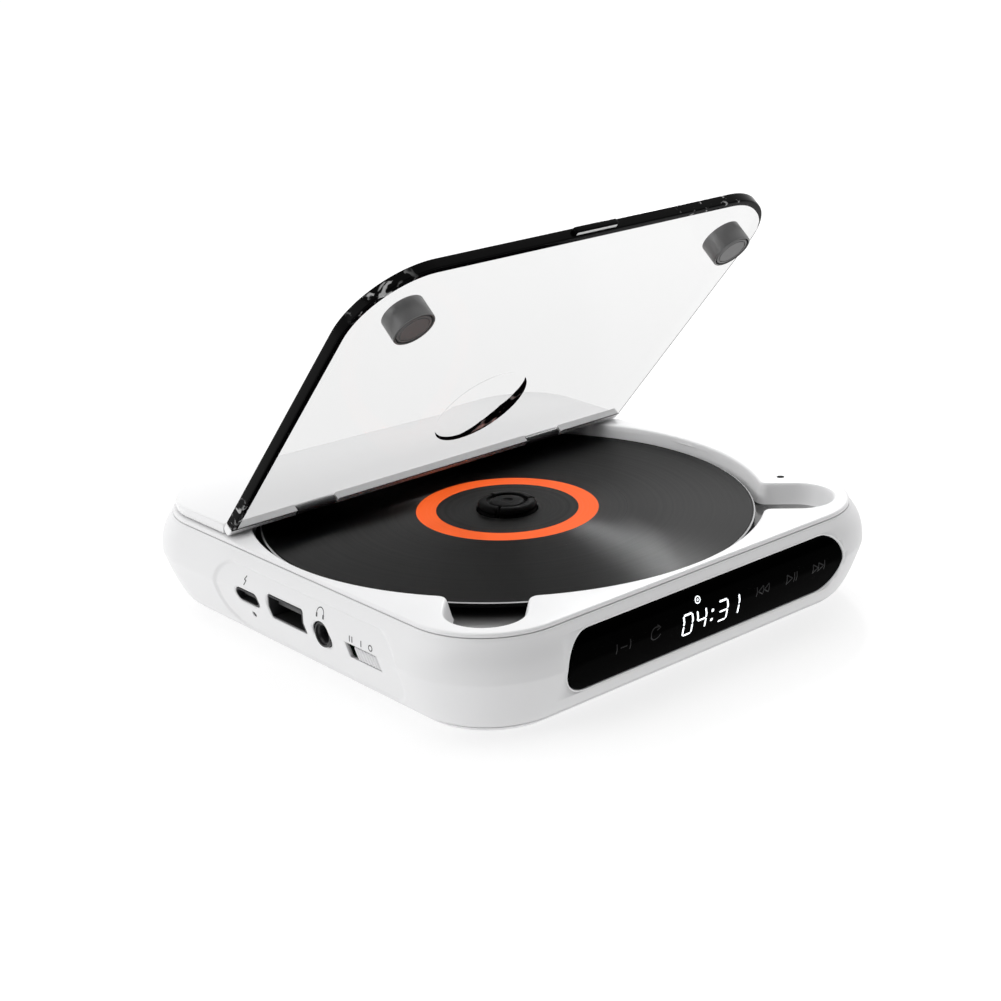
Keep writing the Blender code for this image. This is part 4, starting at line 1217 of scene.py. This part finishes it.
for index in range(0, len(stops), 2):
    ends = (stops[index], stops[index + 1])
    number = index // 2 + 1
    rail_rows = []
    for x, shrink in (
        (ends[0], 0.15), (ends[0] + 0.15 * MM, 0.0), (ends[1] - 0.15 * MM, 0.0), (ends[1], 0.15)
    ):
        radius = LID_HALF - shrink * MM
        turns = [math.radians(-90 + 180 * k / 14) for k in range(15)]
        row = [(x, radius * math.cos(t), radius * math.sin(t)) for t in turns]
        row += [(x, -1.35 * MM, radius), (x, -1.35 * MM, -radius)]
        rail_rows.append([opened @ Vector(p) for p in row])
    rail = add_mesh(
        f"hinge_rail_{number}", *join_rows(rail_rows, cap_first=True, cap_last=True), [rail_white], 40
    )
    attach(rail, "lid")
    # Painted shade: a dark line below the joint with the sheet, and another on the lower round.
    rail_strip(
        f"rail_seam_{number}", ends, ((-1.36, -1.32), (-1.80, -1.32), (-1.80, -1.265), (-1.36, -1.265))
    )
    rail_strip(f"rail_line_{number}", ends, ((0.35, -1.16), (0.35, -1.22), (0.75, -1.03), (0.75, -0.97)))

# The dish's wall on the hub side, where it is deepest: a dark crescent with light streaks coloured
# on it, in place of what a polished wall would reflect.
crescent_material, add, link, shader = nodes_of("dish_wall_painted_reflection")
place = add("ShaderNodeTexCoord")
streaks = add("ShaderNodeTexNoise")
streaks.inputs["Scale"].default_value = 200
streaks.inputs["Detail"].default_value = 2
steps = add("ShaderNodeValToRGB")
steps.color_ramp.elements[0].position = 0.53
steps.color_ramp.elements[0].color = (0.004, 0.004, 0.005, 1)
steps.color_ramp.elements[1].position = 0.66
steps.color_ramp.elements[1].color = (0.75, 0.75, 0.76, 1)
link(place.outputs["Object"], streaks.inputs["Vector"])
link(streaks.outputs["Fac"], steps.inputs["Fac"])
link(steps.outputs["Color"], shader.inputs["Base Color"])
shader.inputs["Roughness"].default_value = 0.15
shader.inputs["Specular IOR Level"].default_value = 0.0
# Angle about the dish's centre, in degrees, and the crescent's width there.
crescent_widths = (
    (-153, 0.05), (-125, 1.1), (-97, 2.1), (-66, 5.0), (-40, 5.9), (-15, 5.8), (16, 3.2), (35, 0.8),
    (43, 0.05)
)


def crescent_width(angle):
    for (a, w), (b, v) in zip(crescent_widths, crescent_widths[1:]):
        if angle <= b:
            return (w + (v - w) * (angle - a) / (b - a)) * MM
    return crescent_widths[-1][1] * MM


crescent_rows = []
for i in range(65):
    angle = -153 + 196 * i / 64
    turn = math.radians(angle)
    width = crescent_width(angle)
    row = []
    for k in range(7):
        across = k / 6
        radius = 13.0 * MM - width * across
        depth = -1.28 * MM - 0.22 * MM * math.sin(math.pi * across)
        row.append(opened @ Vector((radius * math.cos(turn), -HINGE.y - radius * math.sin(turn), depth)))
    crescent_rows.append(row)
crescent_points, crescent_faces = [], []
for i, row in enumerate(crescent_rows):
    crescent_points += row
    if i:
        for k in range(6):
            a = (i - 1) * 7 + k
            crescent_faces.append((a, a + 1, a + 8, a + 7))
crescent = add_mesh("dish_crescent", crescent_points, crescent_faces, [crescent_material], 60)
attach(crescent, "lid")

# ---------------------------------------------------------------- magnets
# Two grey metal cups are bonded under the lid's front corners, each with a dark magnet
# sunk in its end behind a thin raised ring.
cup_grey = speckled("cup_grey", (0.15, 0.15, 0.15), (0.12, 0.12, 0.12), 0.36, 900, 0.01, metallic=0.3)
magnet_dark = speckled("magnet_dark", (0.12, 0.12, 0.12), (0.105, 0.105, 0.105), 0.42, 900, 0.01)
MAGNET_X = 48.3 * MM
MAGNET_Y = -78.9 * MM
for side, x in (("left", -MAGNET_X), ("right", MAGNET_X)):
    cup_profile = [
        (5.1, -1.27), (5.1, -6.1), (5.04, -6.28), (4.9, -6.38), (4.7, -6.4), (4.62, -6.35), (4.6, -6.2), (
            4.6, -5.0
        ),
    ]
    magnet_profile = [
        (4.25, -4.6), (4.25, -6.2), (4.18, -6.3), (4.0, -6.32), (3.75, -6.32), (3.66, -6.12), (3.54, -6.12),
        (3.45, -6.32), (0.5, -6.33)
    ]
    for name, profile, material, node, slot_name in (
        (f"cup_{side}", cup_profile, cup_grey, f"magnet_cup_{side}", "cup_grey"),
        (f"magnet_face_{side}", magnet_profile, magnet_dark, f"magnet_{side}", "magnet_dark"),
    ):
        piece = turned_up(name, (x, MAGNET_Y), [(r * MM, z * MM) for r, z in profile], [material], 72)
        piece.data.transform(opened)
        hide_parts(node)
        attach(piece, "lid")

# ---------------------------------------------------------------- disc and hub
# A polycarbonate disc, printed black with fine rings like a record and an orange band, its
# outermost edge clear and drawn as a pale grey ring, a painted highlight. The black hub under it has slit, sprung
# tongues.
disc_low, disc_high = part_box("disc")


def groove_print(name, colour, other, rings, depth, roughness, anisotropy=0.0, metallic=0.0):
    """Print with fine rings that catch the light; rings is their ripple's angle in radians per metre."""
    material, add, link, shader = nodes_of(name)
    place = add("ShaderNodeTexCoord")
    flat = add("ShaderNodeVectorMath")
    flat.operation = "MULTIPLY"
    flat.inputs[1].default_value = (1, 1, 0)
    length = add("ShaderNodeVectorMath")
    length.operation = "LENGTH"
    times = add("ShaderNodeMath")
    times.operation = "MULTIPLY"
    times.inputs[1].default_value = rings
    wave = add("ShaderNodeMath")
    wave.operation = "SINE"
    noise = add("ShaderNodeTexNoise")
    noise.noise_dimensions = "1D"
    noise.inputs["Scale"].default_value = 900
    noise.inputs["Detail"].default_value = 4
    blend = add("ShaderNodeMix")
    blend.data_type = "RGBA"
    blend.inputs["A"].default_value = (*colour, 1)
    blend.inputs["B"].default_value = (*other, 1)
    spread = add("ShaderNodeMapRange")
    spread.inputs["To Min"].default_value = roughness * 0.8
    spread.inputs["To Max"].default_value = roughness * 1.25
    relief = add("ShaderNodeBump")
    relief.inputs["Strength"].default_value = depth
    relief.inputs["Distance"].default_value = 0.0001
    link(place.outputs["Object"], flat.inputs[0])
    link(flat.outputs["Vector"], length.inputs[0])
    link(length.outputs["Value"], times.inputs[0])
    link(times.outputs["Value"], wave.inputs[0])
    link(length.outputs["Value"], noise.inputs["W"])
    link(noise.outputs["Fac"], blend.inputs["Factor"])
    link(blend.outputs["Result"], shader.inputs["Base Color"])
    link(noise.outputs["Fac"], spread.inputs["Value"])
    link(spread.outputs["Result"], shader.inputs["Roughness"])
    link(wave.outputs["Value"], relief.inputs["Height"])
    link(relief.outputs["Normal"], shader.inputs["Normal"])
    shader.inputs["Specular IOR Level"].default_value = 0.03
    shader.inputs["Specular Tint"].default_value = (0.72, 0.72, 0.72, 1)
    shader.inputs["Metallic"].default_value = metallic
    shader.inputs["Anisotropic"].default_value = anisotropy
    shader.inputs["Anisotropic Rotation"].default_value = 0.25
    around = add("ShaderNodeTangent")
    around.direction_type = "RADIAL"
    around.axis = "Z"
    link(around.outputs["Tangent"], shader.inputs["Tangent"])
    return material


groove_black = groove_print(
    "groove_black", (0.0035, 0.0035, 0.0035), (0.0085, 0.0085, 0.0085), 12000, 0.01, 0.30, 0.9, 1.0
)
label_black = groove_print("label_black", (0.004, 0.004, 0.004), (0.006, 0.006, 0.006), 3000, 0.02, 0.40)
label_orange = groove_print("label_orange", (1.0, 0.13, 0.016), (0.96, 0.12, 0.014), 3000, 0.02, 0.42)
# The clear outer edge is an opaque pale grey: a painted highlight in place of the bright line a clear edge
# catches.
disc_edge_highlight = speckled(
    "disc_edge_painted_highlight", (0.40, 0.40, 0.405), (0.48, 0.48, 0.485), 0.15, 300, 0.0, specular=0.3
)

ring_edges = [7.5, 7.7, 8.4, 17.4, 22.3, 30, 38, 46, 54, 59.2, 59.65, 60.0]
ring_materials = [1, 1, 1, 2, 0, 0, 0, 0, 0, 1, 3]
sides = 192
disc_rows = []
disc_profile = [(r, disc_high.z - (0.15 * MM if r in (7.5, 60.0) else 0)) for r in ring_edges]
disc_profile += [
    (60.0, disc_low.z + 0.15 * MM), (59.8, disc_low.z), (7.7, disc_low.z), (7.5, disc_low.z + 0.15 * MM)
]
for radius, z in disc_profile:
    row = []
    for i in range(sides):
        turn = 2 * math.pi * i / sides
        row.append((radius * MM * math.cos(turn), radius * MM * math.sin(turn), z))
    disc_rows.append(row)
disc_points, disc_faces = join_rows(disc_rows, closed=True)
disc_data = bpy.data.meshes.new("printed_disc")
disc_data.from_pydata(disc_points, [], disc_faces)
for material in (groove_black, label_black, label_orange, disc_edge_highlight):
    disc_data.materials.append(material)
for face in disc_data.polygons:
    ring = face.index // sides
    face.material_index = ring_materials[ring] if ring < len(ring_materials) else 1
disc_data.shade_smooth()
disc_data.set_sharp_from_angle(angle=math.radians(30))
printed_disc = bpy.data.objects.new("printed_disc", disc_data)
bpy.context.scene.collection.objects.link(printed_disc)
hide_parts("disc")
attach(printed_disc, "spindle")

hub_black = speckled(
    "hub_black", (0.001, 0.001, 0.001), (0.002, 0.002, 0.002), 0.45, 900, 0.003, specular=0.02
)
hub_profile = [
    (3.0, 13.6), (3.0, 19.4), (13.8, 19.4), (14.0, 19.6), (14.0, 20.45), (13.8, 20.6), (7.3, 20.62), (
        7.2, 21.9
    ),
    (7.0, 22.2), (6.95, 22.45), (7.25, 22.75), (7.3, 23.0), (7.2, 23.4), (6.9, 23.9), (6.5, 24.15), (
        6.1, 24.25
    ),
    (5.2, 24.25), (5.0, 24.1), (4.9, 23.7), (4.4, 23.6), (4.2, 23.75), (4.0, 24.0), (3.6, 24.1), (
        1.6, 24.12
    ),
    (1.3, 23.9), (0.5, 23.85),
]
hub = turned_up("slit_hub", (0, 0), [(r * MM, z * MM) for r, z in hub_profile], [hub_black], 96)
for index in range(3):
    turn = math.radians(90 + 120 * index)
    way = Vector((math.cos(turn), math.sin(turn)))
    across = Vector((-way.y, way.x)) * 0.5 * MM
    outline = [
        way * 4.4 * MM - across, way * 8 * MM - across, way * 8 * MM + across, way * 4.4 * MM + across
    ]
    rows = [[(p.x, p.y, z) for p in outline] for z in (21.2 * MM, 25 * MM)]
    slit = add_mesh(f"slit_{index}", *join_rows(rows, cap_first=True, cap_last=True), [])
    change = hub.modifiers.new("slit", "BOOLEAN")
    change.operation = "DIFFERENCE"
    change.solver = "EXACT"
    change.object = slit
    bpy.context.view_layer.objects.active = hub
    bpy.ops.object.modifier_apply(modifier="slit")
    bpy.data.objects.remove(slit)
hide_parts("spindle_hub")
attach(hub, "spindle")

# ---------------------------------------------------------------- drive and boards
# The pressed chassis, motors, rails and boards are closed in by the case. The pickup's
# lens and the slot it runs in show only when the disc is out.
chassis_steel = speckled(
    "pressed_steel", (0.42, 0.42, 0.43), (0.34, 0.34, 0.35), 0.38, 500, 0.1, metallic=1.0
)
lead_brass = speckled("lead_brass", (0.60, 0.42, 0.16), (0.50, 0.34, 0.12), 0.30, 900, 0.1, metallic=1.0)
damper_rubber = speckled("damper_rubber", (0.03, 0.03, 0.03), (0.045, 0.045, 0.045), 0.8, 900, 0.3)
board_green = speckled("board_green", (0.02, 0.13, 0.06), (0.03, 0.17, 0.08), 0.45, 700, 0.1)
cell_blue = speckled("cell_wrap_blue", (0.05, 0.16, 0.38), (0.06, 0.19, 0.43), 0.4, 300, 0.05)
inner_black = speckled("inner_black", (0.02, 0.02, 0.021), (0.03, 0.03, 0.031), 0.45, 900, 0.1)
lens_coated = speckled(
    "pickup_lens_coat", (0.05, 0.08, 0.20), (0.08, 0.10, 0.26), 0.06, 300, 0.0, specular=0.9
)
inner_finishes = {
    "steel": chassis_steel,
    "brass": lead_brass,
    "rubber": damper_rubber,
    "board_green": board_green,
    "cell_blue": cell_blue,
    "soft_black": inner_black,
    "pickup_glass": lens_coated,
}
dressed = {
    "usb_c_shell", "usb_a_shell", "usb_c_tongue", "usb_a_tongue", "charge_light", "hinge_bracket_left",
    "hinge_bracket_right", "hinge_pin_left", "hinge_pin_right",
}
for subpart in frame["record"]["subparts"]:
    name, slot_name = subpart["node"], subpart["material_slot"]
    if name not in dressed and slot_name in inner_finishes:
        node = frame["nodes"][name]
        node.data.materials.clear()
        node.data.materials.append(inner_finishes[slot_name])

low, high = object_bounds()
